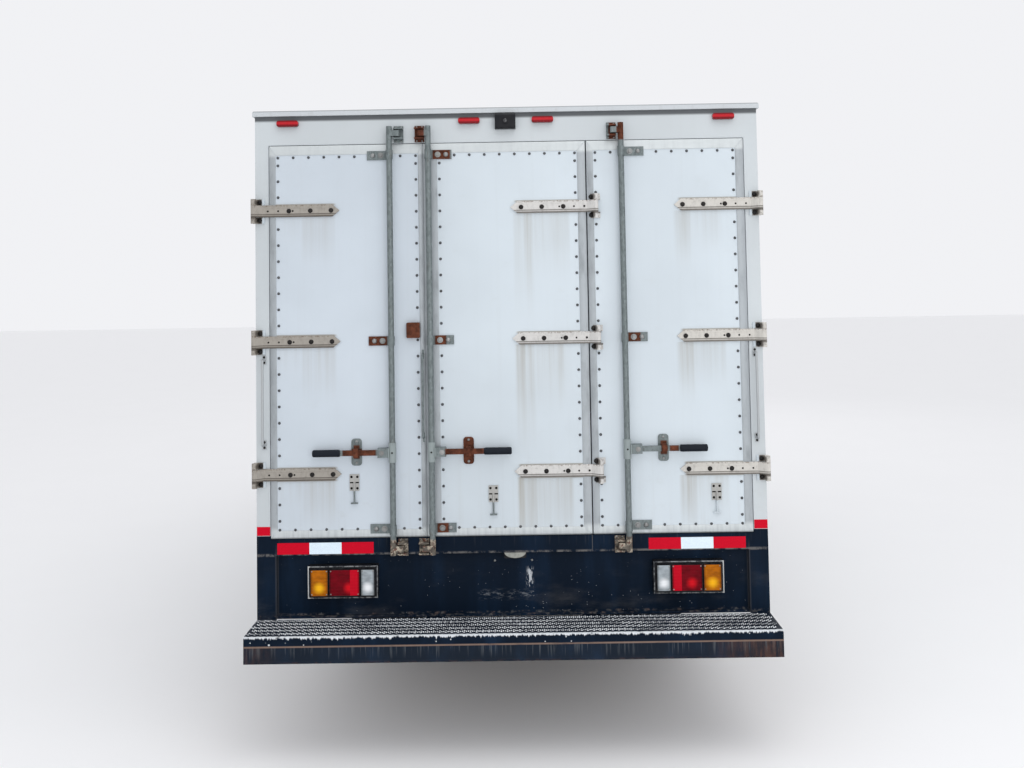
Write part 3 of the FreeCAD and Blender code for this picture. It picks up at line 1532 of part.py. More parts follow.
def mirrors():
    """A tall mirror head on a bent bar on each side."""
    bar_y = back_from_front(mirror_setback)
    pieces = [rod(mirror_bar, (mirror_x, bar_y, mirror_low_z), (mirror_x, bar_y, mirror_high_z))]
    for z in (mirror_low_z, mirror_high_z):
        root = (cab_half - seat_gap, screen_y(z) - cab_side_wall, z)
        pieces.append(rod(mirror_bar, (mirror_x, bar_y, z), root))
        pieces.append(Part.makeSphere(mirror_bar, V(mirror_x, bar_y, z)))
    head = block(about(mirror_x, mirror_head_width), about(bar_y, mirror_head_depth),
                 about(mirror_head_z, mirror_head_height))
    pieces.append(round_edges(head, mirror_round, lambda e: True))
    arm = fuse(pieces)
    room = block((0, cab_half + seat_gap), (cab_back_y, cab_front_y + mirror_x), (cab_floor_z, roof_top_z))
    return both(arm.cut(room))


def dashboard():
    """The dashboard with its hood, and the steering column with the pin that the wheel turns on."""
    front = face_y(dash_front_z, cab_front_wall, cab_floor_z + cab_floor_thick) - seat_gap
    deep = front - dash_depth
    outline = [(front, dash_low_z), (front, dash_front_z), (front - dash_depth * dash_hood_share, dash_top_z),
               (deep, dash_top_z - dash_depth * dash_drop_share),
               (deep - dash_play, dash_low_z + dash_depth * dash_knee_share),
               (front - dash_depth * dash_foot_share, dash_low_z)]
    half = cab_half - cab_side_wall - dash_play
    body = side_plate(outline, (-half, half))
    low = (driver_x, back_from_front(column_low[0]), column_low[1])
    high = (driver_x, back_from_front(column_high[0]), column_high[1])
    way = (V(*high) - V(*low)).normalize()
    tip = V(*high) + way * (wheel_hub_height + barrel_play)
    column = rod(column_radius, low, high)
    pin = rod(column_pin, high, tuple(tip))
    return [fuse([body, column, pin])]


def steering_wheel():
    """A round rim on three spokes, on the column's pin."""
    mid_z = wheel_hub_height / 2
    section = Part.makeCircle(wheel_rim_tube, V(wheel_rim_radius, 0, mid_z), V(0, 1, 0))
    rim_ring = Part.Face(Part.Wire(section)).revolve(V(0, 0, 0), V(0, 0, 1), 360)
    pieces = [rim_ring, rod(wheel_hub_radius, (0, 0, 0), (0, 0, wheel_hub_height))]
    for i in range(wheel_spoke_count):
        spoke = block((0, wheel_rim_radius), about(0, wheel_spoke_width), about(mid_z, wheel_rim_tube))
        spoke.rotate(V(0, 0, 0), V(0, 0, 1), spoke_start + 360 * i / wheel_spoke_count)
        pieces.append(spoke)
    wheel = fuse(pieces).cut(upright(column_pin + fit_gap, 0, 0, past((0, wheel_hub_height))))
    low = V(driver_x, back_from_front(column_low[0]), column_low[1])
    high = V(driver_x, back_from_front(column_high[0]), column_high[1])
    way = (high - low).normalize()
    wheel.Placement = FreeCAD.Placement(high + way * barrel_play, FreeCAD.Rotation(V(0, 0, 1), way))
    return [wheel]


def seats():
    """Two seats, each a cushion and a leaning back, and their bases."""
    cushions = []
    bases = []
    for x in seat_x:
        ends = about(x, seat_width)
        front = back_from_front(seat_front_setback)
        rear = front - seat_length
        cushion = block(ends, (rear, front), (seat_low_z, seat_high_z))
        cushions.append(round_edges(cushion, seat_round, lambda e: True))
        back_low = seat_high_z + seat_gap
        back_front = rear + seat_back_thick
        back = side_plate([(back_front, back_low), (back_front - seat_back_lean, seat_back_top_z),
                           (rear - seat_back_lean, seat_back_top_z), (rear, back_low)], ends)
        cushions.append(round_edges(back, seat_round, lambda e: True))
        base_x = sorted((ends[0] if x < 0 else ends[1], x - math.copysign(seat_base_reach, x)))
        inset = seat_base_inset / 2
        base = block((base_x[0] + inset, base_x[1] - inset), (rear, front - seat_base_inset),
                     (cab_floor_z + cab_floor_thick, seat_low_z - seat_gap))
        bases.append(base)
    return cushions, bases


def build():
    os.makedirs("parts", exist_ok=True)
    save("frame_rails", frame_rails())
    save("cross_members", cross_members())
    save("floor_bearers", floor_bearers())
    save("box_floor", box_floor())
    save("box_left_wall", box_side(-1))
    save("box_right_wall", box_side(1))
    save("box_front_wall", box_front_wall())
    save("box_roof", box_roof())
    save("rear_frame", rear_frame())
    save("rear_sill", rear_sill())
    save("rear_fittings", rear_fittings())
    save("step_bumper", step_bumper())
    save("marker_lamps", marker_lamps())
    save("rear_camera", rear_camera())
    save("tail_lamps", tail_lamps())
    for name, door in (("left", left_door), ("centre", centre_door), ("right", right_door)):
        panel, hardware = door()
        save("rear_door_" + name, panel)
        save("rear_door_" + name + "_gear", hardware)
    save("fuel_tank", fuel_tank())
    save("battery_box", battery_box())
    save("exhaust", exhaust())
    save("engine", engine())
    save("front_axle", front_axle())
    save("rear_axle", rear_axle())
    save("leaf_springs", leaf_springs())
    save("mudflaps", mudflaps())
    save("front_bumper", front_bumper())
    save("knuckle_left", knuckle(-1))
    save("knuckle_right", knuckle(1))
    wheel = front_wheel()
    save("front_wheel_right", [wheel])
    save("front_wheel_left", [flip(wheel)])
    rubber = front_tyre()
    save("front_tyre_right", [rubber])
    save("front_tyre_left", [flip(rubber)])
    twin = twin_wheel()
    save("twin_wheels_right", [twin])
    save("twin_wheels_left", [flip(twin)])
    rubbers = twin_tyres()
    save("twin_tyres_right", rubbers)
    save("twin_tyres_left", [flip(one) for one in rubbers])
    save("cab_shell", cab_shell())
    save("windscreen", cab_glass())
    door = cab_door()
    save("cab_door_right", [door])
    save("cab_door_left", [flip(door)])
    pane = door_glass()
    save("cab_window_right", [pane])
    save("cab_window_left", [flip(pane)])
    save("grille", grille())
    save("headlamps", headlamps())
    save("mirrors", mirrors())
    save("dashboard", dashboard())
    save("steering_wheel", steering_wheel())
    cushions, bases = seats()
    save("seats", cushions)
    save("seat_bases", bases)


build()
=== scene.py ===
import functools
import math

import bmesh
import bpy
import numpy as np
from bpy.props import FloatProperty, FloatVectorProperty, IntProperty, PointerProperty
from bpy.types import Operator, Panel, PropertyGroup
from mathutils import Matrix, Vector


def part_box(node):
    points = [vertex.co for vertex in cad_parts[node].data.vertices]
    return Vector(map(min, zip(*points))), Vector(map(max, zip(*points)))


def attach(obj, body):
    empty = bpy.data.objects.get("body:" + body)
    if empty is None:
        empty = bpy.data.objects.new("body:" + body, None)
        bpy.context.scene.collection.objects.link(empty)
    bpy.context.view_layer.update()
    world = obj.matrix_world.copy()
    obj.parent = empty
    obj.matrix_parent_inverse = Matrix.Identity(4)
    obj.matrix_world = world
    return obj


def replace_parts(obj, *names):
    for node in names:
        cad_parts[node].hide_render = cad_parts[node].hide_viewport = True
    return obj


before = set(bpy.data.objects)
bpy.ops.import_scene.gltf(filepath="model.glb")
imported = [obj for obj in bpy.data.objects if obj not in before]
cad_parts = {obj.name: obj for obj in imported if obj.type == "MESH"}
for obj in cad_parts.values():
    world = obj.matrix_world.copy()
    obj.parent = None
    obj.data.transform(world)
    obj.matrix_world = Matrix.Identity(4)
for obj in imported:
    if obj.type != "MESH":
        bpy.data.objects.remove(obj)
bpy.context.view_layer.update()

bl_info = {
    "name": "Box truck looks",
    "version": (1, 0, 0),
    "blender": (4, 5, 0),
    "location": "View3D > Sidebar > Truck",
    "description": "Gives the packed box truck its finishes, trim, rivets, lenses, tape, tyre tread and seats",
    "category": "Object",
}

# Metres. +Y is the way it drives, +X its right side, +Z up; the rear doors face -Y.
# Places that the frame gives
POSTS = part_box("rear_frame")
REAR_Y = POSTS[0].y
HEAD_TOP = POSTS[1].z
BODY_HALF = POSTS[1].x
DOORS = {side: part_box("rear_door_" + side) for side in ("left", "centre", "right")}
DOOR_FACE = DOORS["left"][0].y
DOOR_LOW = DOORS["left"][0].z
DOOR_HIGH = DOORS["left"][1].z
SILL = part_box("rear_sill")
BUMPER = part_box("step_bumper")
TREAD_Z = SILL[0].z
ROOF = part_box("box_roof")
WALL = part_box("box_right_wall")
FRONT_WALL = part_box("box_front_wall")
AXLE_Z = (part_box("front_tyre_right")[0].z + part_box("front_tyre_right")[1].z) / 2

# Axles and wheels, and the faces of the body's side walls
AXLE_Y = {"front": 2.4075, "rear": -1.4025}
FRONT_TYRE_X = 0.8325
REAR_TYRES_X = (0.700, 0.950)
NUT_CIRCLE = 0.111
SIDES = ((-1, "left"), (1, "right"))
SIDE_FACE = 1.212

# Hardware of the doors: hinges, rods and handles. The name of a door's body takes its side
ROOM = "rear_door_%s_body"
STRAP_Z = (1.264, 1.897, 2.530)
STRAP_OUT = 0.008
STRAP_REACH = 0.412
STRAP_HALF = 0.029
RIB_FOOT = 0.0155
STRAP_WAY = {"left": 1, "centre": -1, "right": -1}
BUTT_X = {"left": -1.222, "centre": 0.430, "right": 1.222}
BUTT_THICK = 0.006
BUTT_BOLT_X = {"left": -1.197, "centre": 0.4085, "right": 1.198}
BUTT_BOLT_RISE = 0.044
ROD_X = {"left": -0.562, "centre": -0.375, "right": 0.556}
ROD_Y = REAR_Y - 0.036
BRACKET_Z = (1.003, 1.896, 2.793)
BRACKET_OUT = 0.006
BRACKET_WAY = {"left": -1, "centre": 1, "right": 1}
NOSE_Z = (0.914, 2.895)
NOSE_WAY = {"left": 1, "centre": -1, "right": -1}
HANDLE_Z = 1.367
HANDLE_WAY = {"left": -1, "centre": 1, "right": 1}
GRIP_REACH = (0.249, 0.385)
HASP_NEAR = 0.150
HASP_WIDTH = 0.050
HASP_HALF = 0.064
HOOKS = {"left": (-0.749, 1.223), "centre": (-0.085, 1.160), "right": (0.980, 1.154)}
TRIM_WIDTH = {"left": (0.031, 0.025), "centre": (0.056, 0.039), "right": (0.032, 0.039)}
# The centre door's edge covers the gap to the left door, short of it by a play
COVER_PLAY = 0.0012
COVER_DEPTH = 0.006

# Rear frame: sill, grab handles, tape and lamps
SILL_LOW = 0.880
PANEL_Y = REAR_Y + 0.030
GRAB_X = 1.180
GRAB_Z = 1.61
GRAB_FEET = (1.407, 1.813)
TAPES = ((-1.122, -0.661), (0.651, 1.113))
TAPE_Z = (0.886, 0.940)
POST_TAPE_Z = (0.976, 1.018)
MARKER_Z = 2.957
LAMP_FACE = PANEL_Y - 0.046
LENS_FACE = LAMP_FACE - 0.014
LENS_Z = (0.757 - 0.061, 0.757 + 0.061)
LENS_GAP = 0.007
# Each tail lamp's middle and the way its lenses follow one another, and each lens's width
LAMPS = ((-0.807, -1), (0.836, 1))
LAMP_HALF = 0.167
LAMP_Z = (0.681, 0.833)
LAMP_EDGE = 0.015
LENS_WIDTHS = {"clear": 0.064, "red": 0.143, "amber": 0.083}

# Cab
CAB_FRONT = 3.4225
CAB_SIDE = 1.000
WINDOW_CORNERS = ((3.1240, 1.392), (2.8702, 1.998), (2.3545, 1.998), (2.3545, 1.392))
WAIST_Z = 1.330
SCREEN_SETBACK = 0.010
SCREEN_RAKE = 0.320 / 0.750
SCREEN_LOW = (-0.860, 1.392)
SCREEN_HIGH = (0.860, 2.028)
HEADLAMP_Z = 0.8075
SEAT_X = (-0.520, 0.520)

# Tones of the weathering, of painted light and shade, and of the hardware
WHITE_DIRT_AND_SHADE = (0.30, 0.265, 0.205)
DARK = (0.005, 0.008, 0.014)
GRIME_AND_SHADE = (0.060, 0.048, 0.038)
CREAM = (0.42, 0.365, 0.285)
ZINC_LOW, ZINC_HIGH = (0.095, 0.115, 0.117), (0.245, 0.280, 0.282)
STRAP_PAINT = {"left": (0.34, 0.315, 0.28), "centre": (0.60, 0.59, 0.57), "right": (0.58, 0.56, 0.52)}
# How each door's white is scaled: painted shade darkens the left door and painted light brightens the right one
DOOR_LIGHT_AND_SHADE = {"left": (0.96, 0.96, 0.98), "centre": (1.0, 1.0, 1.0), "right": (1.01, 1.01, 1.01)}
# Painted ranges along x: each door's gear, the centre hinge's butt, and the butts on the posts
COATS = {"left": (-1.24, -0.80), "centre": (0.01, 0.45), "right": (0.80, 1.24)}
CENTRE_BUTT = (0.405, 0.456)
POST_BUTTS = {"left": (-1.24, -1.16), "right": (1.16, 1.24)}
# Water marks below the straps of each door: from x, to x, how far down they reach, and how strong they are
RUNS = {
    "left": ((-0.995, -0.835, 0.34, 0.42), (-1.120, -1.000, 0.20, 0.20)),
    "centre": ((0.035, 0.125, 0.62, 0.70), (0.125, 0.300, 0.42, 0.42)),
    "right": ((0.812, 0.890, 0.36, 0.66), (0.885, 1.040, 0.28, 0.34)),
}
# Rusty places of the gear, each the low and the high (x, z) corner of a rectangle
RUST = {
    "left": [((-0.675, 1.872), (-0.585, 1.920)), ((-0.80, 1.352), (-0.64, 1.383)),
             ((-0.752, 1.335), (-0.722, 1.40)), ((-0.492, 1.905), (-0.424, 1.985))],
    "centre": [*[((-0.355, z - 0.025), (-0.300, z + 0.025)) for z in BRACKET_Z[:2]],
               ((-0.355, 2.768), (-0.270, 2.818)), ((-0.31, 1.352), (-0.125, 1.383)),
               ((-0.232, 1.30), (-0.168, 1.435)), ((-0.45, 2.87), (-0.392, 2.92))],
    "right": [((0.535, 2.845), (0.577, 2.93)), ((0.717, 1.335), (0.748, 1.40)),
              ((0.757, 1.352), (0.80, 1.383)), ((0.572, 1.874), (0.634, 1.918))],
    "frame": [((-0.45, 2.85), (-0.392, 2.94)), ((0.500, 2.85), (0.534, 2.94))],
}


def around(x, z, wide, high):
    """The low and the high (x, z) corner of a rectangle, from its middle and its half sizes."""
    return (x - wide, z - high), (x + wide, z + high)


# Paler places with their colour: the hooks' plates, the rods' hubs, and the right hook's white arm
PALE = {side: [(*around(x, z, 0.0235, 0.0395), (0.40, 0.395, 0.375)),
               (*around(ROD_X[side], HANDLE_Z, 0.0185, 0.047), (0.27, 0.31, 0.31))]
        for side, (x, z) in HOOKS.items()}
PALE["right"].append((*around(HOOKS["right"][0], HOOKS["right"][1] - 0.075, 0.020, 0.035), (0.56, 0.62, 0.66)))
# Places gone cream-brown: the rods' feet and their keepers
WORN = {
    "left": [((-0.585, 0.884), (-0.50, 0.958))],
    "centre": [((-0.43, 0.884), (-0.355, 0.958))],
    "right": [((0.50, 0.884), (0.58, 0.958))],
    "frame": [((x - 0.045, 0.868), (x + 0.045, 0.956)) for x in (-0.520, -0.416, 0.514)],
}
# Plain finishes: name, colour, roughness, metal, clouds, grain, its depth, dust, and the nodes they dress
PLAIN_NODES = (
    ("Black plastic", (0.020, 0.021, 0.023), 0.55, 0.0, 0.2, 320.0, 0.0005, 0.12,
     ("grille", "mirrors", "steering_wheel", "seat_bases")),
    ("Dashboard plastic", (0.045, 0.047, 0.052), 0.7, 0.0, 0.12, 420.0, 0.0005, 0.05, ("dashboard",)),
    ("Bumper paint", (0.60, 0.62, 0.63), 0.4, 0.0, 0.05, 260.0, 0.0003, 0.35, ("front_bumper",)),
    ("Chassis paint", (0.020, 0.021, 0.023), 0.6, 0.0, 0.3, 120.0, 0.0010, 0.55,
     ("frame_rails", "cross_members", "rear_axle", "front_axle")),
    ("Bearer steel", (0.16, 0.165, 0.17), 0.55, 0.5, 0.25, 110.0, 0.0008, 0.5, ("floor_bearers",)),
    ("Cast metal", (0.19, 0.185, 0.18), 0.6, 0.6, 0.3, 90.0, 0.0015, 0.6,
     ("engine", "knuckle_left", "knuckle_right")),
    ("Spring steel", (0.055, 0.045, 0.040), 0.65, 0.3, 0.3, 100.0, 0.0010, 0.5, ("leaf_springs",)),
    ("Tank metal", (0.40, 0.41, 0.42), 0.4, 0.8, 0.12, 200.0, 0.0005, 0.45, ("fuel_tank",)),
    ("Battery plastic", (0.025, 0.026, 0.028), 0.6, 0.0, 0.2, 260.0, 0.0006, 0.4, ("battery_box",)),
    ("Exhaust steel", (0.23, 0.19, 0.16), 0.55, 0.7, 0.35, 70.0, 0.0012, 0.5, ("exhaust",)),
    ("Flap rubber", (0.020, 0.020, 0.021), 0.8, 0.0, 0.2, 60.0, 0.0010, 0.6, ("mudflaps",)),
)


class TruckTrim(PropertyGroup):
    """Sizes of the door trims and rivets, and the number of side posts."""
    rise: FloatProperty(name="Trim rise", description="How far a door trim stands off the panel",
                        default=0.0028, unit="LENGTH")
    top: FloatProperty(name="Head width", description="Width of a door trim along its head", default=0.046,
                       unit="LENGTH")
    foot: FloatProperty(name="Foot width", description="Width of a door trim along its foot", default=0.038,
                        unit="LENGTH")
    rivet: FloatProperty(name="Rivet radius", description="Radius of a rivet's head", default=0.0070,
                         unit="LENGTH")
    pitch: FloatProperty(name="Rivet pitch", description="Distance from rivet to rivet on the doors",
                         default=0.076, unit="LENGTH")
    side_pitch: FloatProperty(name="Side rivet pitch",
                              description="Distance from rivet to rivet on the side walls", default=0.1,
                              unit="LENGTH")
    posts: IntProperty(name="Side posts", description="Number of riveted posts along a side wall", default=9,
                       min=2)


class TruckGrip(PropertyGroup):
    """The step's grip plate: rows of raised, toothed rings."""
    rows: IntProperty(name="Rows", description="Rows of rings from back to front of the step", default=5, min=1)
    pitch: FloatProperty(name="Pitch", description="Distance from ring to ring along a row", default=0.0280,
                         unit="LENGTH")
    row_pitch: FloatProperty(name="Row pitch", description="Distance from row to row", default=0.0455,
                             unit="LENGTH")
    radius: FloatProperty(name="Ring radius", description="Radius of a ring's crest", default=0.0112,
                          unit="LENGTH")
    height: FloatProperty(name="Ring height", description="Height of a ring's crest", default=0.0100,
                          unit="LENGTH")
    teeth: IntProperty(name="Teeth", description="Teeth round a ring", default=4, min=2)


class TruckTyres(PropertyGroup):
    """The highway tread that dresses the tyres."""
    around: IntProperty(name="Steps around", description="Mesh steps around a tyre", default=288, min=24)
    blocks: IntProperty(name="Blocks", description="Tread blocks around a tyre", default=72, min=8)
    groove: FloatProperty(name="Groove depth", description="Depth of the tread's grooves", default=0.011,
                          unit="LENGTH")


class TruckColours(PropertyGroup):
    """The colours of the main finishes."""
    white: FloatVectorProperty(name="Panel white", description="Painted door and wall panels", subtype="COLOR",
                               default=(0.575, 0.637, 0.68), min=0, max=1)
    cab: FloatVectorProperty(name="Cab white", description="Glossy paint of the cab", subtype="COLOR",
                             default=(0.78, 0.80, 0.82), min=0, max=1)
    navy: FloatVectorProperty(name="Navy", description="Paint of the sill, lamp panel and step",
                              subtype="COLOR",
                              default=(0.003, 0.0095, 0.022), min=0, max=1)
    trim: FloatVectorProperty(name="Trim", description="Aluminium trims of the doors", subtype="COLOR",
                              default=(0.37, 0.40, 0.42), min=0, max=1)
    rust: FloatVectorProperty(name="Rust", description="Rusted steel", subtype="COLOR",
                              default=(0.105, 0.034, 0.018), min=0, max=1)
    tape: FloatVectorProperty(name="Tape red", description="Red of the reflective tape", subtype="COLOR",
                              default=(0.52, 0.001, 0.016), min=0, max=1)


class TruckStage(PropertyGroup):
    """The camera, the floor and the lights."""
    lens: FloatProperty(name="Focal length", description="Focal length on a 36 mm sensor, in mm", default=36.37,
                        min=1)
    distance: FloatProperty(name="Distance", description="From the camera to the rear face", default=5.0,
                            unit="LENGTH")
    height: FloatProperty(name="Height", description="Height of the camera", default=2.127, unit="LENGTH")
    offset: FloatProperty(name="Offset", description="The camera's place to the right of the middle",
                          default=0.058, unit="LENGTH")
    pitch: FloatProperty(name="Pitch", description="How far the camera looks up", default=math.radians(2.791),
                         subtype="ANGLE")
    roll: FloatProperty(name="Roll", description="How far the camera is rolled", default=math.radians(0.957),
                        subtype="ANGLE")
    yaw: FloatProperty(name="Yaw", description="How far the camera is turned", default=math.radians(-0.392),
                       subtype="ANGLE")
    shift: FloatProperty(name="Shift", description="The camera's shift that the framing needs", default=-0.1404)
    floor: FloatProperty(name="Floor", description="Half the floor's size", default=60.0, unit="LENGTH")
    key: FloatProperty(name="Key light", description="Power of the large overhead light", default=160.0, min=0)
    fill: FloatProperty(name="Fill light", description="Power of the light behind the camera", default=80.0,
                        min=0)
    front: FloatProperty(name="Front light", description="Power of the light ahead of the cab", default=35.0,
                         min=0)


# Surfaces: each part is (points, faces), with faces a list of equal-length corner lists

def join(parts):
    """Puts parts in one list of points, shifting each part's faces by the number of points before it."""
    points, faces, start = [], [], 0
    for part_points, part_faces in parts:
        points.append(np.asarray(part_points, float).reshape(-1, 3))
        faces += [np.asarray(group, int) + start for group in part_faces]
        start += len(points[-1])
    return np.concatenate(points), faces


def repeat(part, places):
    """Copies a part to many places: every point plus every place, and every face with its copy's shift."""
    points, faces = part
    places = np.asarray(places, float).reshape(-1, 3)
    count = len(points)
    all_points = (places[:, None, :] + points[None, :, :]).reshape(-1, 3)
    shift = np.arange(len(places)) * count
    return all_points, [(shift[:, None, None] + np.asarray(g, int)[None]).reshape(-1, np.shape(g)[1])
                        for g in faces]


def turned(part, matrix):
    """A part with each point multiplied by a 3 x 3 matrix."""
    return np.asarray(part[0]) @ np.asarray(matrix, float).T, part[1]


def moved(part, place):
    """A part with a place added to each of its points."""
    return np.asarray(part[0]) + np.asarray(place, float), part[1]


def grid(points, wrap_rows=False, wrap_columns=False):
    """The faces between neighbours of a (rows, columns, 3) array of points. A wrapped side closes on itself."""
    rows, columns = points.shape[:2]
    i = np.arange(rows if wrap_rows else rows - 1)[:, None]
    j = np.arange(columns if wrap_columns else columns - 1)[None, :]
    ii, jj = (i + 1) % rows, (j + 1) % columns
    quads = np.stack([i * columns + j, i * columns + jj, ii * columns + jj, ii * columns + j], axis=-1)
    return points.reshape(-1, 3), [quads.reshape(-1, 4)]


def capped(surface, rows, columns):
    """Closes the first and the last row of a wrapped grid of so many rows and columns with one face each."""
    flat, faces = surface
    ring = np.arange(columns)
    return flat, faces + [ring[::-1][None], (ring + (rows - 1) * columns)[None]]


def lathe(profile, spokes, ends=(True, True)):
    """A profile of (radius, height) turned about Z: x = r cos t, y = r sin t. A wanted end is one face."""
    r, h = np.asarray(profile, float).T
    t = np.linspace(0, 2 * math.pi, spokes, endpoint=False)
    points = np.stack([r[:, None] * np.cos(t), r[:, None] * np.sin(t),
                       np.broadcast_to(h[:, None], (len(r), spokes))], axis=-1)
    flat, faces = grid(points, wrap_columns=True)
    ring = np.arange(spokes)
    if ends[0]:
        faces.append(ring[::-1][None])
    if ends[1]:
        faces.append((ring + (len(r) - 1) * spokes)[None])
    return flat, faces


def sweep(profile, path, up=(0, 0, 1)):
    """A closed profile (a across, b up) carried along a path, ends capped: path + a (up x along) + b up."""
    path = np.asarray(path, float)
    along = np.gradient(path, axis=0)
    along /= np.linalg.norm(along, axis=1)[:, None]
    across = np.cross(np.asarray(up, float), along)
    across /= np.linalg.norm(across, axis=1)[:, None]
    upward = np.cross(along, across)
    a, b = np.asarray(profile, float).T
    points = path[:, None, :] + across[:, None, :] * a[None, :, None] + upward[:, None, :] * b[None, :, None]
    return capped(grid(points, wrap_columns=True), len(path), len(a))


def ring_profile(radius, spokes=12):
    """A round outline: (r cos t, r sin t)."""
    t = np.linspace(0, 2 * math.pi, spokes, endpoint=False)
    return np.stack([radius * np.cos(t), radius * np.sin(t)], axis=-1)


def slab(low, high, edge=0.0):
    """A box from its low to its high corner whose twelve edges are cut back by a flat bevel."""
    low, high = np.asarray(low, float), np.asarray(high, float)
    middle, half = (low + high) / 2, (high - low) / 2
    if edge <= 0:
        signs = np.array([(x, y, z) for z in (-1, 1) for x, y in ((-1, -1), (1, -1), (1, 1), (-1, 1))], float)
        quads = [(3, 2, 1, 0), (4, 5, 6, 7), (0, 1, 5, 4), (1, 2, 6, 5), (2, 3, 7, 6), (3, 0, 4, 7)]
        return middle + signs * half, [np.array(quads)]
    levels = [(half[2], edge), (half[2] - edge, 0.0), (edge - half[2], 0.0), (-half[2], edge)]
    rows = []
    for z, inset in levels:
        x, y = half[0] - inset, half[1] - inset
        c = edge if inset == 0.0 else 0.0
        rows.append([(x, y - c, z), (x - c, y, z), (c - x, y, z), (-x, y - c, z),
                     (-x, c - y, z), (c - x, -y, z), (x - c, -y, z), (x, c - y, z)])
    flat, faces = capped(grid(np.array(rows)[::-1], wrap_columns=True), 4, 8)
    return flat + middle, faces


def sided(sign, low, high, edge=0.0):
    """A slab given for the right side, mirrored to the left one where the sign is -1."""
    ends = np.array([low, high], float) * (sign, 1, 1)
    return slab(ends.min(axis=0), ends.max(axis=0), edge)


def mitres(low, high, widths, share, rise):
    """The profiles at the four corners of a mitred frame round a rectangle in the X-Z plane.

    Each of a profile's points lies a share of each side's own width in from the outer edge, and stands rise
    towards -Y. widths are those of the left, right, foot and head side."""
    left, right, foot, head = widths
    (x0, y, z0), (x1, _, z1) = low, high
    return [np.stack([x + a * share, y - rise, z + b * share], axis=-1)
            for x, z, a, b in ((x0, z0, left, foot), (x1, z0, -right, foot),
                               (x1, z1, -right, -head), (x0, z1, left, -head))]


def border(low, high, widths, profile):
    """A closed, mitred frame round a rectangle in the X-Z plane, whose profile points are (share, rise)."""
    share, rise = np.asarray(profile, float).T
    return grid(np.array(mitres(low, high, widths, share, rise)), wrap_rows=True, wrap_columns=True)


def facing_rear(part):
    """Turns a part that rises along +Z so that it rises towards -Y."""
    return turned(part, [[1, 0, 0], [0, 0, -1], [0, 1, 0]])


def facing_side(part, sign):
    """Turns a part that rises along +Z so that it rises along X, to the side of the sign."""
    return turned(part, [[0, 0, sign], [sign, 0, 0], [0, 1, 0]])


def dome(radius, height, rings=3, spokes=10):
    """A rivet's head: radius r cos u and height h sin u for u from 0 to a quarter turn."""
    u = np.linspace(0, math.pi / 2 * 0.86, rings)
    return lathe(np.stack([radius * np.cos(u), height * np.sin(u)], axis=-1), spokes, ends=(False, True))


def hex_head(radius, height):
    """A hexagonal bolt head on its washer: a stepped profile, six-sided above the washer."""
    washer = lathe([(radius * 1.5, 0), (radius * 1.5, height * 0.2), (radius * 0.9, height * 0.24)], 16,
                   ends=(False, False))
    head = lathe([(radius, height * 0.2), (radius, height * 0.9), (radius * 0.85, height)], 6,
                 ends=(False, True))
    return join([washer, head])


def spread(start, end, pitch):
    """Even places from start to end, as near to the pitch as whole steps allow."""
    steps = max(1, round(abs(end - start) / pitch))
    return np.linspace(start, end, steps + 1)


def piece(name, parts, finish, body, smooth=False, bevel=0.0):
    """Makes one mesh of the parts, gives it its finish, and lets it ride on a body."""
    points, faces = join(parts)
    sizes = np.concatenate([np.full(len(g), g.shape[1]) for g in faces])
    corners = np.concatenate([g.ravel() for g in faces])
    mesh = bpy.data.meshes.new(name)
    mesh.vertices.add(len(points))
    mesh.vertices.foreach_set("co", points.astype(np.float32).ravel())
    mesh.loops.add(len(corners))
    mesh.loops.foreach_set("vertex_index", corners.astype(np.int32))
    mesh.polygons.add(len(sizes))
    mesh.polygons.foreach_set("loop_start", np.concatenate([[0], np.cumsum(sizes)[:-1]]).astype(np.int32))
    mesh.update(calc_edges=True)
    mesh.validate()
    outward = bmesh.new()
    outward.from_mesh(mesh)
    bmesh.ops.recalc_face_normals(outward, faces=outward.faces)
    outward.to_mesh(mesh)
    outward.free()
    mesh.materials.append(finish)
    mesh.polygons.foreach_set("use_smooth", np.full(len(mesh.polygons), smooth))
    made = bpy.data.objects.new(name, mesh)
    bpy.context.scene.collection.objects.link(made)
    if bevel:
        rounding = made.modifiers.new("Soft edges", "BEVEL")
        rounding.width = bevel
        rounding.segments = 2
        rounding.limit_method = "ANGLE"
    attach(made, body)
    return made


def faceted(made, degrees=35):
    """Smooth shading that keeps edges sharper than an angle."""
    made.data.polygons.foreach_set("use_smooth", np.full(len(made.data.polygons), True))
    made.data.set_sharp_from_angle(angle=math.radians(degrees))
    return made


# Finishes: sums on sockets are written as expressions

class Value:
    """A number that a socket gives. Its operators, and larger, smaller and sine, each add their Math node."""

    def __init__(self, paint, socket):
        self.paint = paint
        self.socket = socket

    def sum(self, operation, other=0.0, swapped=False):
        pair = [other, self] if swapped else [self, other]
        return self.paint.node("ShaderNodeMath", {"operation": operation}, dict(enumerate(pair)))

    def between(self, low, high):
        """0 below low, 1 above high and smooth between them. When high is the smaller one, 1 below it."""
        span = {1: low, 2: high, 3: 0.0, 4: 1.0} if low < high else {1: high, 2: low, 3: 1.0, 4: 0.0}
        return self.paint.node("ShaderNodeMapRange", {"interpolation_type": "SMOOTHSTEP"}, {0: self, **span})

    def inside(self, low, high, out, within):
        """1 between low and high: 0 from out beyond either end, and 1 from within inside it."""
        return abs(self - (low + high) / 2).between((high - low) / 2 + out, (high - low) / 2 - within)


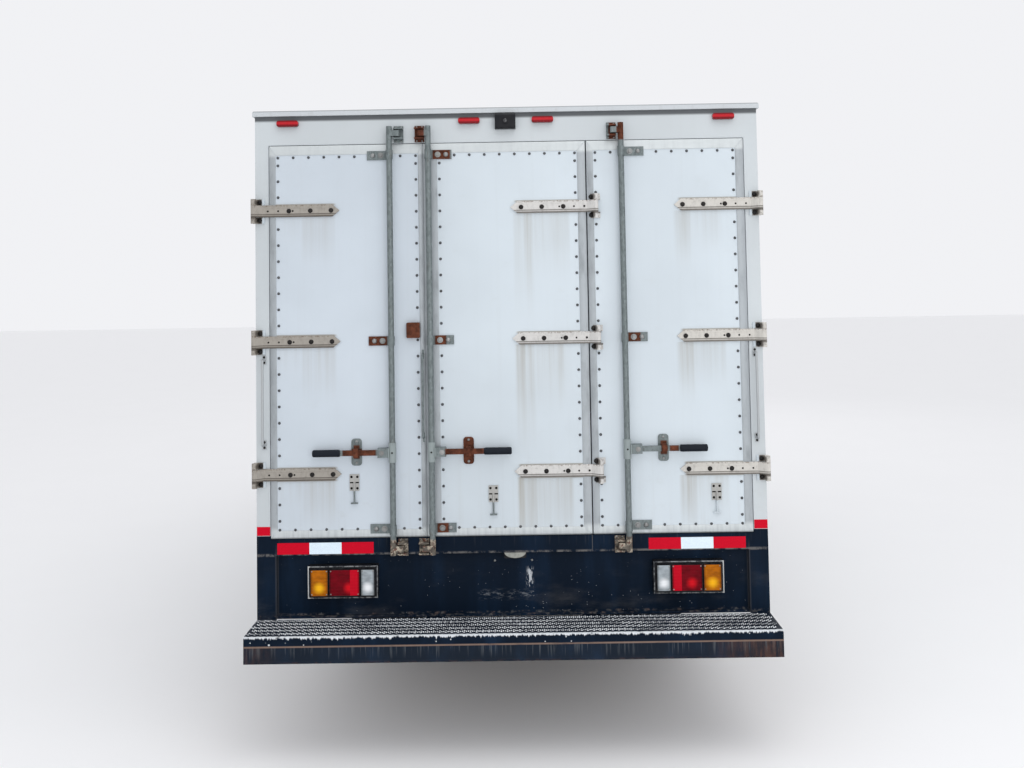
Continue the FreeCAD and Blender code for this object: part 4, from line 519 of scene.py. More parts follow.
for method, operation in (("__add__", "ADD"), ("__radd__", "ADD"), ("__sub__", "SUBTRACT"),
                          ("__mul__", "MULTIPLY"),
                          ("__rmul__", "MULTIPLY"), ("__truediv__", "DIVIDE"), ("__pow__", "POWER"),
                          ("__mod__", "FLOORED_MODULO"), ("__lt__", "LESS_THAN"), ("__gt__", "GREATER_THAN"),
                          ("__abs__", "ABSOLUTE"), ("larger", "MAXIMUM"), ("smaller", "MINIMUM"),
                          ("sine", "SINE")):
    setattr(Value, method, functools.partialmethod(Value.sum, operation))
Value.__rsub__ = functools.partialmethod(Value.sum, "SUBTRACT", swapped=True)


class Paint:
    """A material under construction, with short ways to add nodes to its tree."""

    def __init__(self, name):
        self.material = bpy.data.materials.new(name)
        self.material.use_nodes = True
        self.tree = self.material.node_tree
        self.tree.nodes.clear()
        self.place = self.node("ShaderNodeTexCoord", output="Object")
        self.x, self.y, self.z = self.split(self.place)

    def node(self, kind, settings=None, inputs=None, output=0):
        """Adds a node with its settings and its sockets' values or links, and gives back one of its outputs."""
        made = self.tree.nodes.new(kind)
        for key, setting in (settings or {}).items():
            setattr(made, key, setting)
        for key, given in (inputs or {}).items():
            if isinstance(given, Value):
                self.tree.links.new(given.socket, made.inputs[key])
            elif given is not None:
                made.inputs[key].default_value = given
        return Value(self, made.outputs[output])

    def split(self, vector):
        first = self.node("ShaderNodeSeparateXYZ", inputs={0: vector})
        return [Value(self, first.socket.node.outputs[i]) for i in range(3)]

    def vector(self, x, y, z):
        return self.node("ShaderNodeCombineXYZ", inputs={0: x, 1: y, 2: z})

    def scaled(self, scale, at):
        """A texture's place and scale. A scale for each axis needs a Mapping node."""
        at = at or self.place
        if isinstance(scale, tuple):
            return {"Vector": self.node("ShaderNodeMapping", inputs={0: at, 3: scale}), "Scale": 1.0}
        return {"Vector": at, "Scale": scale}

    def noise(self, scale, detail=3.0, rough=0.5, at=None):
        """Cloudy noise from 0 to 1. scale is one number, or one for each axis."""
        return self.node("ShaderNodeTexNoise", None,
                         {**self.scaled(scale, at), "Detail": detail, "Roughness": rough})

    def cells(self, scale, output="Distance", at=None):
        """A mosaic: the distance to its nearest point, or that point's random colour."""
        return self.node("ShaderNodeTexVoronoi", None, self.scaled(scale, at), output)

    def mix(self, first, second, share):
        """A colour that goes from the first to the second as share goes from 0 to 1."""
        def colour(given):
            return given if isinstance(given, Value) else (*tuple(given)[:3], 1.0)
        return self.node("ShaderNodeMix", {"data_type": "RGBA"},
                         {0: share, 6: colour(first), 7: colour(second)}, 2)

    def blend(self, first, second, share):
        """A number that goes from the first to the second as share goes from 0 to 1."""
        return self.node("ShaderNodeMix", {"data_type": "FLOAT"}, {0: share, 2: first, 3: second}, 0)

    def box(self, low, high, soft=0.002):
        """1 inside a rectangle of (x, z) corners and 0 outside it, with a soft edge."""
        return self.x.inside(low[0], high[0], soft, soft) * self.z.inside(low[1], high[1], soft, soft)

    def bump(self, height, distance, strength=1.0, normal=None):
        return self.node("ShaderNodeBump", None, {"Height": height, "Distance": distance, "Strength": strength,
                                                  "Normal": normal})

    def done(self, colour, rough=0.5, metal=0.0, normal=None, **other):
        """Ends the material in a Principled shader. Other sockets are named with _ for a space."""
        if not isinstance(colour, Value):
            colour = (*tuple(colour)[:3], 1.0)
        inputs = {"Base Color": colour, "Roughness": rough, "Metallic": metal, "Normal": normal}
        inputs.update({key.replace("_", " "): given for key, given in other.items()})
        shader = self.node("ShaderNodeBsdfPrincipled", None, inputs)
        out = self.tree.nodes.new("ShaderNodeOutputMaterial")
        self.tree.links.new(shader.socket, out.inputs["Surface"])
        return self.material


def shade(colour, factor):
    """A colour made lighter or darker by a factor."""
    return tuple(min(1.0, c * factor) for c in colour)


def distance(across, up):
    """The length of two steps at right angles."""
    return (across * across + up * up) ** 0.5


def nearest(places, offset):
    """The least size of an offset that is taken from each of some places."""
    return functools.reduce(Value.smaller, [abs(offset(place)) for place in places])


def rust_tint(paint, rust):
    """Rust from dark brown to orange in small clouds."""
    return paint.mix(shade(rust, 0.40), shade(rust, 1.55), paint.noise(38.0, 6.0, 0.7).between(0.3, 0.75))


def strap_runs_and_shadow(paint, side):
    """Dirty water marks below each strap: upright runs that start at its lower edge and fade on the way down.

    The marks differ from strap to strap, because the row's number moves the noise, and are strongest in the
    lowest row. A dark line of painted shadow lies right under each strap. The door's inner face has none."""
    pitch = STRAP_Z[1] - STRAP_Z[0]
    drop = STRAP_Z[-1] - paint.z
    below = drop % pitch
    row = (drop - below) / pitch
    under = (paint.z < STRAP_Z[-1] - STRAP_HALF) * (below > STRAP_HALF)
    place = paint.vector(paint.x * 34.0 + row * 17.0, row * 5.0, paint.z * 0.7)
    fine = paint.noise(1.0, 5.0, 0.66, at=place).between(0.38, 0.70)
    broad = paint.noise(0.45, 2.0, 0.5, at=place).between(0.30, 0.62)
    dirt = None
    for low, high, length, strength in RUNS[side]:
        across = paint.x.inside(low, high, 0.012, 0.012)
        fade = below.between(length, STRAP_HALF) * (row * 0.16 + 0.72)
        marks = across * fade * (fine * 0.55 + broad * 0.30 + 0.12) * strength
        dirt = marks if dirt is None else dirt.larger(marks)
    pin, way = BUTT_X[side], STRAP_WAY[side]
    blade = abs(paint.x - (pin + way * STRAP_REACH / 2)).between(STRAP_REACH / 2 - 0.012,
                                                                 STRAP_REACH / 2 - 0.035)
    # Painted shadow: a dark line along each strap's edge
    line = abs(abs(paint.z - STRAP_Z[0]) % pitch - STRAP_HALF).between(0.0075, 0.0020) * blade
    return (dirt * under).larger(line * 0.75) * (paint.y < DOOR_FACE + 0.010)


def panel_finish(name, colours, side=None, tone=(1.0, 1.0, 1.0)):
    """Painted sheet: a slightly bluish white with faint clouds, upright grey runs and, on a door, drips.

    The head of the rear frame has a painted shadow right under the roof's lip."""
    paint = Paint(name)
    # On the doors, tone scales the white as painted light and shade
    base = tuple(c * t for c, t in zip(colours.white, tone))
    clouds = paint.noise(1.6, 3.0, 0.5)
    runs = paint.noise((30.0, 30.0, 0.6), 4.0, 0.6).between(0.48, 0.85)
    low_dirt = paint.z.between(1.45, 0.95)
    white = paint.mix(shade(base, 0.94), shade(base, 1.03), clouds.between(0.3, 0.7))
    dirt = runs * (low_dirt * 0.14 + 0.04)
    grime = paint.noise((9.0, 9.0, 14.0), 5.0, 0.65).between(0.56, 0.80) * (low_dirt * 0.10 + 0.05)
    dirt = dirt.larger(grime)
    specks = paint.noise(240.0, 2.0, 0.6).between(0.74, 0.80) * 0.22
    if side:
        # Water marks under the straps, and a painted shadow line along them
        dirt = dirt.larger(strap_runs_and_shadow(paint, side))
    shown = paint.mix(white, WHITE_DIRT_AND_SHADE, dirt.larger(specks))
    # Painted shadow of the roof's lip: a dark band along the head of the rear frame
    lip = paint.z.between(HEAD_TOP - 0.031, HEAD_TOP - 0.017)
    shown = paint.mix(shown, (0.045, 0.050, 0.056), lip * 0.9)
    dent = paint.noise(2.4, 2.0, 0.4)
    grain = paint.noise(420.0, 2.0, 0.5)
    normal = paint.bump(grain, 0.0002, 0.12, paint.bump(dent, 0.012, 0.28))
    return paint.done(shown, 0.38 + dirt * 0.35 + clouds * 0.08, 0.0, normal, Specular_IOR_Level=0.35)


def cab_finish(colours):
    """Glossy cab paint with road dust along its foot."""
    paint = Paint("Cab paint")
    dust = paint.noise((6.0, 6.0, 2.0), 5.0, 0.6).between(0.42, 0.8) * paint.z.between(1.35, 0.55)
    shown = paint.mix(colours.cab, (0.30, 0.27, 0.23), dust * 0.6 + paint.noise(3.0) * 0.04)
    peel = paint.bump(paint.noise(260.0, 1.0), 0.0002, 0.08)
    return paint.done(shown, 0.22 + dust * 0.5, normal=peel, Coat_Weight=0.8, Coat_Roughness=0.06)


def roof_finish():
    """The roof's aluminium: greyer along its rounded upper edge and pale on its lip, dusty on top."""
    paint = Paint("Roof sheet")
    top = paint.z.between(ROOF[1].z - 0.009, ROOF[1].z - 0.002)
    dust = paint.noise((2.0, 2.0, 2.0), 5.0, 0.6).between(0.35, 0.7)
    runs = paint.noise((26.0, 26.0, 2.0), 4.0, 0.6).between(0.50, 0.80)
    shown = paint.mix((0.52, 0.55, 0.57), (0.28, 0.31, 0.33), top)
    shown = paint.mix(shown, (0.25, 0.235, 0.21), (dust * top * 0.4).larger(runs * 0.3))
    return paint.done(shown, 0.5, 0.0, paint.bump(paint.noise(160.0, 3.0), 0.0006, 0.3), Specular_IOR_Level=0.3)


def trim_finish(colours):
    """Mill aluminium gone dull: brushed, with grey water marks; the head and the foot of a door are paler."""
    paint = Paint("Dull aluminium")
    brush = paint.noise((160.0, 40.0, 5.0), 4.0, 0.6)
    marks = paint.noise((22.0, 10.0, 7.0), 5.0, 0.65).between(0.42, 0.75)
    foot = paint.z.between(DOOR_LOW + 0.060, DOOR_LOW + 0.030)
    head = paint.z.between(DOOR_HIGH - 0.060, DOOR_HIGH - 0.040)
    streaks = paint.noise((60.0, 4.0, 3.0), 3.0).between(0.35, 0.75)
    shown = paint.mix(colours.trim, shade(colours.trim, 0.66), marks * 0.6)
    shown = paint.mix(shown, (0.58, 0.615, 0.62),
                      foot.larger(head * 0.95) * (1 - streaks * (foot * 0.3 + 0.15)))
    low = paint.z.between(DOOR_LOW + 0.008, DOOR_LOW + 0.002)
    shown = paint.mix(shown, (0.10, 0.11, 0.12), low * 0.7)
    normal = paint.bump(brush, 0.0004, 0.3)
    return paint.done(shown, 0.46 + marks * 0.2, 0.35, normal, Specular_IOR_Level=0.35)


def box_masks(paint, boxes, soft):
    """1 inside any of some rectangles, each given as its low and its high (x, z) corner."""
    return functools.reduce(Value.larger, [paint.box(low, high, soft) for low, high in boxes])


def gear_finish(name, colours, coats=(), grip_x=None, rusty=(), worn=(), pale=(), handles=0.0):
    """Galvanised steel with crystals and stains, painted where the straps are.

    rusty, worn and pale list rectangles that are rusty, cream-brown or of a colour of their own. handles is the
    grab handles' distance from the middle, and grip_x the ends of a handle's black grip. coats lists the
    painted ranges along x with their paint. The paint is darker at the strap's lower edge, has painted shadow
    right below its rib, is grimy round the bolts of the butts, and is chipped at its upper edge."""
    paint = Paint(name)
    crystals = paint.cells((150.0, 150.0, 70.0), "Color")
    zinc = paint.mix(ZINC_LOW, ZINC_HIGH, crystals * 0.6 + paint.noise(26.0, 4.0) * 0.4)
    stain = paint.noise((34.0, 34.0, 9.0), 5.0, 0.7).between(0.58, 0.75)
    rough = 0.46 + crystals * 0.12
    metal = 0.5 - stain * 0.4
    shown = paint.mix(zinc, (0.09, 0.07, 0.05), stain * 0.5)
    clouds = paint.noise(60.0, 4.0, 0.6)
    if worn:
        mask = box_masks(paint, worn, 0.004)
        tint = paint.mix(CREAM, rust_tint(paint, colours.rust), clouds.between(0.44, 0.60))
        tint = paint.mix(tint, GRIME_AND_SHADE, paint.noise(44.0, 3.0, 0.6).between(0.44, 0.54) * 0.85)
        shown = paint.mix(shown, tint, mask * 0.9)
        metal = metal * (1 - mask)
    for low, high, colour in pale:
        shown = paint.mix(shown, paint.mix(colour, shade(colour, 0.72), stain),
                          paint.box(low, high, 0.001) * 0.92)
        metal = metal * (1 - paint.box(low, high, 0.001))
    if rusty:
        mask = box_masks(paint, rusty, 0.004) * (clouds + 0.25).between(0.30, 0.52)
        shown = paint.mix(shown, rust_tint(paint, colours.rust), mask)
        rough = rough + mask * 0.35
        metal = metal * (1 - mask)
    for low, high, colour in coats:
        off = nearest(STRAP_Z, lambda z: paint.z - z)
        under = nearest(STRAP_Z, lambda z: paint.z - z + STRAP_HALF)
        over = nearest(STRAP_Z, lambda z: paint.z - z - STRAP_HALF)
        step = nearest(STRAP_Z, lambda z: paint.z - z + RIB_FOOT)
        band = off.between(0.062, 0.060) * paint.x.inside(low, high, 0.002, 0.0)
        dirt = paint.noise((60.0, 60.0, 30.0), 6.0, 0.7).between(0.45, 0.72)
        chips = over.between(0.010, 0.001) * paint.noise(110.0, 4.0, 0.7).between(0.48, 0.60)
        coat = paint.mix(colour, shade(colour, 0.62), dirt * 0.55)
        coat = paint.mix(coat, GRIME_AND_SHADE, under.between(0.011, 0.004) * 0.80)
        # Painted shadow: a thin dark line right below the strap's rib
        coat = paint.mix(coat, GRIME_AND_SHADE, step.between(0.0036, 0.0012) * 0.70)
        coat = paint.mix(coat, (0.12, 0.075, 0.045), chips * 0.75)
        leaf = off.between(0.028, 0.031)
        bolt_off = nearest(BUTT_BOLT_X.values(), lambda x: paint.x - x)
        away = (bolt_off * bolt_off + (off - BUTT_BOLT_RISE) * (off - BUTT_BOLT_RISE)) ** 0.5
        soil = away.between(0.024, 0.013).larger(paint.noise(70.0, 5.0, 0.7).between(0.50, 0.64) * 0.5)
        coat = paint.mix(coat, GRIME_AND_SHADE, leaf * soil * 0.85)
        inner = leaf * abs(paint.x).between(1.188, 1.184) * (abs(paint.x) > 1.1)
        coat = paint.mix(coat, shade(colours.white, 0.9), inner)
        shown = paint.mix(shown, coat, band)
        rough = paint.blend(rough, 0.66, band)
        metal = metal * (1 - band)
    if handles:
        bar = abs(abs(paint.x) - handles).between(0.014, 0.012) * abs(paint.z - GRAB_Z).between(0.232, 0.228)
        shown = paint.mix(shown, (0.42, 0.44, 0.45), bar)
    if grip_x:
        grip = paint.box((grip_x[0], HANDLE_Z - 0.03), (grip_x[1], HANDLE_Z + 0.03), 0.0015)
        shown = paint.mix(shown, DARK, grip)
        rough = paint.blend(rough, 0.62, grip)
        metal = metal * (1 - grip)
    normal = paint.bump(paint.noise(190.0, 5.0, 0.7), 0.0006, 0.45)
    return paint.done(shown, rough, metal, normal, Specular_IOR_Level=0.2)


def scratches(paint, scale, size, chance):
    """Short pale ticks, mostly upright: a few of a mosaic's stretched cells hold a mark at their middle."""
    warp = paint.noise(9.0, 2.0, 0.5) * 0.06
    lean = paint.vector(paint.x * scale[0] + paint.z * scale[1] * 0.4 + warp * scale[0], paint.y * scale[0],
                        paint.z * scale[1])
    tick = paint.cells(1.0, at=lean).between(size, size * 0.5)
    return tick * paint.cells(1.0, "Color", at=lean).between(chance, chance + 0.02)


def specks(paint, scale, size, chance):
    """Small pale chips: a few of the cells of a mosaic, each with a dot at its middle."""
    spot = paint.cells(scale).between(size, size * 0.6)
    return spot * paint.cells(scale, "Color").between(chance, chance + 0.02)


def navy_finish(colours):
    """Dark navy paint: fine scratches and chips, greyed under the sill's weld, rusty and worn at the foot."""
    paint = Paint("Scratched navy")
    haze = paint.noise((5.0, 5.0, 1.2), 4.0, 0.6)
    shown = paint.mix(shade(colours.navy, 0.8), shade(colours.navy, 1.9), haze.between(0.4, 0.8))
    low = paint.z.between(0.90, 0.62)
    upright = paint.noise((80.0, 10.0, 2.0), 3.0, 0.6).between(0.55, 0.85) * paint.z.between(0.90, 0.94) * 0.14
    weld = (abs(paint.z - (SILL_LOW + 0.003)).between(0.010, 0.002)
            * paint.noise(30.0, 5.0, 0.7).between(0.38, 0.60))
    foot = (abs(paint.z - (TREAD_Z + 0.012)).between(0.012, 0.003)
            * paint.noise(42.0, 5.0, 0.7).between(0.48, 0.66))
    edge = abs(abs(paint.x) - (BODY_HALF - 0.093)).between(0.008, 0.002) * paint.z.between(0.95, 0.85)
    lines = scratches(paint, (95.0, 17.0), 0.13,
                      0.90).larger(scratches(paint, (52.0, 7.0), 0.075, 0.91)) * (low * 0.7 + 0.3)
    patch = paint.noise((3.4, 3.4, 5.0), 2.0, 0.5).between(0.44, 0.56)
    chips = specks(paint, 110.0, 0.17, 0.86).larger(specks(paint, 60.0, 0.12, 0.93)) * low.larger(0.25) * patch
    joint = abs(paint.x - 0.383).between(0.0024, 0.0010) * (paint.z > SILL_LOW)
    lick = (paint.box((0.070, 0.700), (0.096, 0.800), 0.012)
            * paint.noise((50.0, 8.0, 16.0), 4.0, 0.7).between(0.5, 0.56))
    smear = (paint.box((-0.16, 0.662), (0.11, 0.690), 0.02)
             * paint.noise((26.0, 8.0, 80.0), 5.0, 0.7).between(0.5, 0.66))
    dust = paint.noise((3.0, 3.0, 9.0), 5.0, 0.65).between(0.50, 0.80) * low
    worn = (weld * 0.60).larger(foot * 0.5).larger(edge * 0.16)
    worn = worn.larger(upright).larger(dust * 0.16).larger(joint * 0.35)
    shown = paint.mix(shown, (0.20, 0.19, 0.18), worn)
    rusty = foot * paint.noise(20.0, 3.0).between(0.5, 0.6)
    shown = paint.mix(shown, rust_tint(paint, colours.rust), rusty * 0.35)
    pale = (lines * 0.8).larger(chips).larger(lick).larger(smear * 0.30)
    shown = paint.mix(shown, (0.58, 0.61, 0.64), pale * 0.85)
    normal = paint.bump(paint.noise(70.0, 5.0, 0.6), 0.0012, 0.25)
    return paint.done(shown, 0.48 + worn * 0.3 + haze * 0.12, 0.0, normal, Specular_IOR_Level=0.07)


def bumper_finish(colours):
    """Navy paint of the step: worn white along the tread's front edge, rusty on the channel and its ends."""
    paint = Paint("Worn step paint")
    haze = paint.noise((6.0, 6.0, 3.0), 4.0, 0.6)
    shown = paint.mix(shade(colours.navy, 0.8), shade(colours.navy, 2.0), haze.between(0.4, 0.8))
    near = paint.y.between(BUMPER[0].y + 0.02, BUMPER[0].y + 0.005)
    runs = paint.noise((90.0, 20.0, 3.0), 4.0, 0.65)
    channel = paint.z.between(TREAD_Z - 0.039, TREAD_Z - 0.043)
    ledge = (abs(paint.z - (TREAD_Z - 0.0445)).between(0.0055, 0.0025)
             * paint.noise((9.0, 9.0, 60.0), 4.0, 0.6).between(0.22, 0.46))
    ends = (abs(paint.x + 0.10).between(0.92, 1.25)
            * paint.noise((50.0, 16.0, 8.0), 5.0, 0.7).between(0.30, 0.60))
    foot = paint.z.between(BUMPER[0].z + 0.014, BUMPER[0].z) * paint.noise(30.0, 5.0, 0.7).between(0.45, 0.65)
    rusty = channel * (ends * 0.75).larger(foot * 0.5)
    down = (TREAD_Z - 0.042) - paint.z
    grey = channel * runs.between(0.50, 0.72) * down.between(0.085, 0.010) * 0.42
    shown = paint.mix(shown, (0.17, 0.185, 0.195), grey.larger(channel * 0.04))
    shown = paint.mix(shown, paint.mix((0.10, 0.075, 0.062), rust_tint(paint, colours.rust), 0.55), rusty * 0.8)
    shown = paint.mix(shown, paint.mix((0.30, 0.215, 0.175), (0.12, 0.07, 0.05), haze), channel * ledge * 0.85)
    spike = (paint.noise((75.0, 10.0, 1.0), 3.0, 0.7) ** 3.0) * 0.055
    rim = (paint.z + spike).between(TREAD_Z - 0.003, TREAD_Z + 0.003) * near
    rim = rim * paint.noise((22.0, 22.0, 40.0), 5.0, 0.7).between(0.30, 0.44)
    cluster = abs(paint.x + 1.10).between(0.10, 0.04)
    chips = specks(paint, 75.0, 0.24, 0.90).larger(specks(paint, 60.0, 0.36, 0.62) * cluster)
    chips = chips * near * paint.z.between(TREAD_Z - 0.044, TREAD_Z - 0.034)
    top = (paint.z > TREAD_Z - 0.001) * paint.noise(130.0, 4.0, 0.6).between(0.62, 0.72)
    corner = (abs(paint.x).between(0.80, 1.15) * paint.y.between(REAR_Y - 0.07, REAR_Y - 0.02)
              * (paint.z > TREAD_Z - 0.001))
    lines = scratches(paint, (60.0, 12.0), 0.09, 0.93)
    pale = (rim.larger(chips).larger(top * 0.45).larger(lines * 0.6)
            .larger(corner * haze.between(0.42, 0.6) * 0.6))
    shown = paint.mix(shown, (0.66, 0.69, 0.72), pale)
    normal = paint.bump(paint.noise(90.0, 5.0, 0.65), 0.0012, 0.3)
    return paint.done(shown, 0.50 + rusty * 0.35, 0.0, normal, Specular_IOR_Level=0.07)


def grip_finish(colours):
    """Rings of the grip plate: dark at their feet, worn white at their crests, more so in patches."""
    paint = Paint("Grip rings")
    crest = paint.z.between(TREAD_Z + 0.0048, TREAD_Z + 0.0064)
    patch = paint.noise((7.0, 18.0, 1.0), 4.0, 0.6).between(0.34, 0.54)
    white = crest * (patch * 0.60 + 0.40) * paint.noise(150.0, 3.0, 0.6).between(0.30, 0.48)
    shown = paint.mix(shade(colours.navy, 0.8), (0.86, 0.89, 0.92), white)
    return paint.done(shown, 0.62, 0.0, paint.bump(paint.noise(300.0), 0.0005, 0.4), Specular_IOR_Level=0.07)


def plain_finish(name, colour, rough, metal=0.0, cloud=0.15, grain=240.0, depth=0.0003, dust=0.0, **other):
    """A finish with small clouds of tone and roughness, a fine grain, and road dust where it is asked for."""
    paint = Paint(name)
    tone = paint.noise(7.0, 4.0, 0.55)
    shown = paint.mix(shade(colour, 1 - cloud), shade(colour, 1 + cloud), tone.between(0.3, 0.7))
    if dust:
        film = paint.noise((9.0, 9.0, 5.0), 5.0, 0.65).between(0.38, 0.72)
        shown = paint.mix(shown, (0.20, 0.17, 0.135), film * dust)
    normal = paint.bump(paint.noise(grain, 3.0, 0.6), depth, 0.5)
    return paint.done(shown, rough + tone * 0.1, metal, normal, **other)


def tape_finish(name, colour, painted_glow):
    """Reflective tape: a fine mosaic of cells under a clear coat, which glows faintly as painted light."""
    paint = Paint(name)
    mosaic = paint.cells(420.0).between(0.1, 0.6)
    shown = paint.mix(shade(colour, 0.8), shade(colour, 1.1), mosaic)
    shown = paint.mix(shown, shade(WHITE_DIRT_AND_SHADE, 0.6),
                      paint.noise((60.0, 10.0, 30.0), 5.0, 0.7).between(0.66, 0.80) * 0.35)
    # Painted light: the tape glows faintly by its own colour
    return paint.done(shown, 0.42, 0.0, paint.bump(mosaic, 0.0002, 0.2), Specular_IOR_Level=0.08,
                      Emission_Color=shown, Emission_Strength=painted_glow)


def glow_spot(paint, x, z, size):
    """1 at a lamp's bulb, falling to 0 at a distance of size."""
    return distance(paint.x - x, paint.z - z).between(size, size * 0.08)


def lenses():
    """The tail lamps' lenses: each one's name, low x, high x, inner end and way outwards."""
    for centre, way in LAMPS:
        start = centre - way * (LAMP_HALF - LAMP_EDGE)
        for name, width in LENS_WIDTHS.items():
            low, high = sorted((start, start + way * width))
            yield name, low, high, start, way
            start += way * (width + LENS_GAP)


def tail_lamp_finish():
    """Each lens in its own colour, lighter by its bulb, with fine ribs. Borders and housing are dark."""
    paint = Paint("Tail lamp lenses")
    shown = paint.mix((0.006, 0.007, 0.009), (0.022, 0.022, 0.024), paint.noise(40.0, 4.0).between(0.35, 0.7))
    front = paint.y < LAMP_FACE - 0.0005
    lamp_x, lamp_z = (paint.x - 0.014) / 0.053, (paint.z - 0.882) / 0.028
    moon = (lamp_x * lamp_x + lamp_z * lamp_z).between(1.0, 0.85) * (paint.z > LENS_Z[1] + 0.02)
    shown = paint.mix(shown, paint.mix((0.40, 0.40, 0.355), (0.16, 0.17, 0.16), paint.noise(60.0, 4.0)), moon)
    tints = {"amber": (0.31, 0.090, 0.002), "red": (0.110, 0.000, 0.004), "clear": (0.25, 0.28, 0.30)}
    lit = {"amber": (0.92, 0.46, 0.010), "red": (0.62, 0.004, 0.012), "clear": (0.85, 0.87, 0.89)}
    strip = (0.50, 0.001, 0.014)
    z_mid = (LENS_Z[0] + LENS_Z[1]) / 2
    for name, low, high, inner, way in lenses():
        colour = tints[name]
        mask = paint.box((low + 0.0015, LENS_Z[0] + 0.0015), (high - 0.0015, LENS_Z[1] - 0.0015),
                         0.0010) * front
        bulb = (low + high) / 2 + (0.022 if name == "red" else 0.0)
        tint = paint.mix(colour, shade(colour, 1.5), paint.noise((30.0, 30.0, 60.0), 3.0).between(0.3, 0.7))
        tint = paint.mix(tint, lit[name], glow_spot(paint, bulb, z_mid - 0.024, 0.036))
        if name == "red":
            edge = inner + way * 0.022
            tint = paint.mix(tint, strip, abs(paint.x - edge).between(0.0235, 0.0225))
        rim = abs(paint.x - (low + high) / 2).between((high - low) / 2 - 0.012, (high - low) / 2 - 0.002)
        tint = paint.mix(tint, shade(colour, 0.35), rim * 0.7)
        shown = paint.mix(shown, tint, mask)
    ribs = (paint.x * 1100.0).sine() * 0.5 + (paint.z * 420.0).sine() * 0.5
    normal = paint.bump(ribs * front, 0.0009, 0.5)
    return paint.done(shown, 0.25, 0.0, normal, Specular_IOR_Level=0.08, Emission_Color=shown,
                      Emission_Strength=0.04)


def lamp_frame_finish():
    """The tail lamps' worn frames: grey and chipped to dark; their outer ends are white with painted light."""
    paint = Paint("Lamp frame")
    chips = paint.noise((50.0, 50.0, 50.0), 4.0, 0.7).between(0.42, 0.60)
    # Painted light: white on the frames' outer ends, where the recesses' walls catch the light
    painted_light_ends = paint.x.between(-0.958, -0.968).larger(paint.x.between(0.990, 0.999))
    shown = paint.mix((0.22, 0.23, 0.235), (0.035, 0.038, 0.045), chips * (1 - painted_light_ends))
    shown = paint.mix(shown, (0.58, 0.59, 0.58), painted_light_ends * 0.85)
    return paint.done(shown, 0.55, 0.0, paint.bump(chips, 0.0004, 0.4), Specular_IOR_Level=0.2)


def marker_finish():
    """Red marker lenses over a darker foot, with close upright ribs."""
    paint = Paint("Marker lenses")
    foot = paint.y.between(REAR_Y - 0.007, REAR_Y - 0.004)
    ribs = (paint.x * 900.0).sine()
    middle = abs(paint.z - MARKER_Z).between(0.010, 0.003)
    tint = paint.mix((0.16, 0.002, 0.006), (0.52, 0.014, 0.022), middle * 0.8)
    return paint.done(paint.mix(tint, (0.06, 0.006, 0.008), foot), 0.25, 0.0, paint.bump(ribs, 0.0008, 0.4),
                      Specular_IOR_Level=0.2, Emission_Color=tint, Emission_Strength=0.04)


def wheel_finish(name, axle_y):
    """White wheel paint, dusty, with brown runs round the nuts and the rim's edge."""
    paint = Paint(name)
    radius = distance(paint.y - axle_y, paint.z - AXLE_Z)
    nuts = abs(radius - NUT_CIRCLE).between(0.040, 0.012)
    edge = radius.between(0.195, 0.218)
    film = paint.noise(14.0, 5.0, 0.65).between(0.35, 0.75)
    shown = paint.mix((0.62, 0.64, 0.65), (0.25, 0.21, 0.165), film * 0.55)
    shown = paint.mix(shown, (0.15, 0.075, 0.04),
                      (nuts * 0.5).larger(edge * 0.55) * paint.noise(30.0, 4.0).between(0.4, 0.6))
    return paint.done(shown, 0.45 + film * 0.2, 0.1, paint.bump(paint.noise(120.0), 0.0005, 0.35))


def tyre_finish(name, axle_y):
    """Black rubber, dusty brown on the sidewall and in the grooves, with fine rings by the bead."""
    paint = Paint(name)
    radius = distance(paint.y - axle_y, paint.z - AXLE_Z)
    wall = radius.between(0.372, 0.360)
    groove = radius.between(0.381, 0.376)
    film = paint.noise(11.0, 5.0, 0.65).between(0.32, 0.75)
    shown = paint.mix((0.018, 0.018, 0.019), (0.095, 0.085, 0.072), film * (wall * 0.5 + groove * 0.3 + 0.1))
    rings = (radius * 1500.0).sine() * wall * radius.between(0.262, 0.250)
    normal = paint.bump(rings, 0.0012, 0.5, paint.bump(paint.noise(160.0, 4.0, 0.7), 0.0006, 0.5))
    return paint.done(shown, 0.78 - wall * 0.08, 0.0, normal)


def glass_finish():
    """Thin tinted glass with a faint film of dust."""
    paint = Paint("Tinted glass")
    film = paint.noise((3.0, 3.0, 2.0), 5.0, 0.6).between(0.45, 0.8)
    return paint.done((0.78, 0.85, 0.84), 0.015 + film * 0.05, 0.0, Transmission_Weight=0.92, IOR=1.45)


def headlamp_finish():
    """A bright reflector with two round lamps under a clear lens, and an amber end."""
    paint = Paint("Headlamp lens")
    side = abs(paint.x)
    shown = paint.mix((0.30, 0.31, 0.33), (0.62, 0.64, 0.66), (side * 260.0).sine() * 0.5 + 0.5)
    for centre, size in ((0.685, 0.052), (0.800, 0.052)):
        away = distance(side - centre, paint.z - HEADLAMP_Z)
        shown = paint.mix(shown, (0.05, 0.055, 0.06), abs(away - size).between(0.007, 0.003))
        shown = paint.mix(shown, (0.88, 0.90, 0.93), away.between(size * 0.8, size * 0.1))
    shown = paint.mix(shown, (0.80, 0.30, 0.02), side.between(0.868, 0.872))
    ribs = (paint.x * 700.0).sine()
    return paint.done(shown, 0.12, 0.35, paint.bump(ribs, 0.0006, 0.25), Coat_Weight=1.0, Coat_Roughness=0.02)


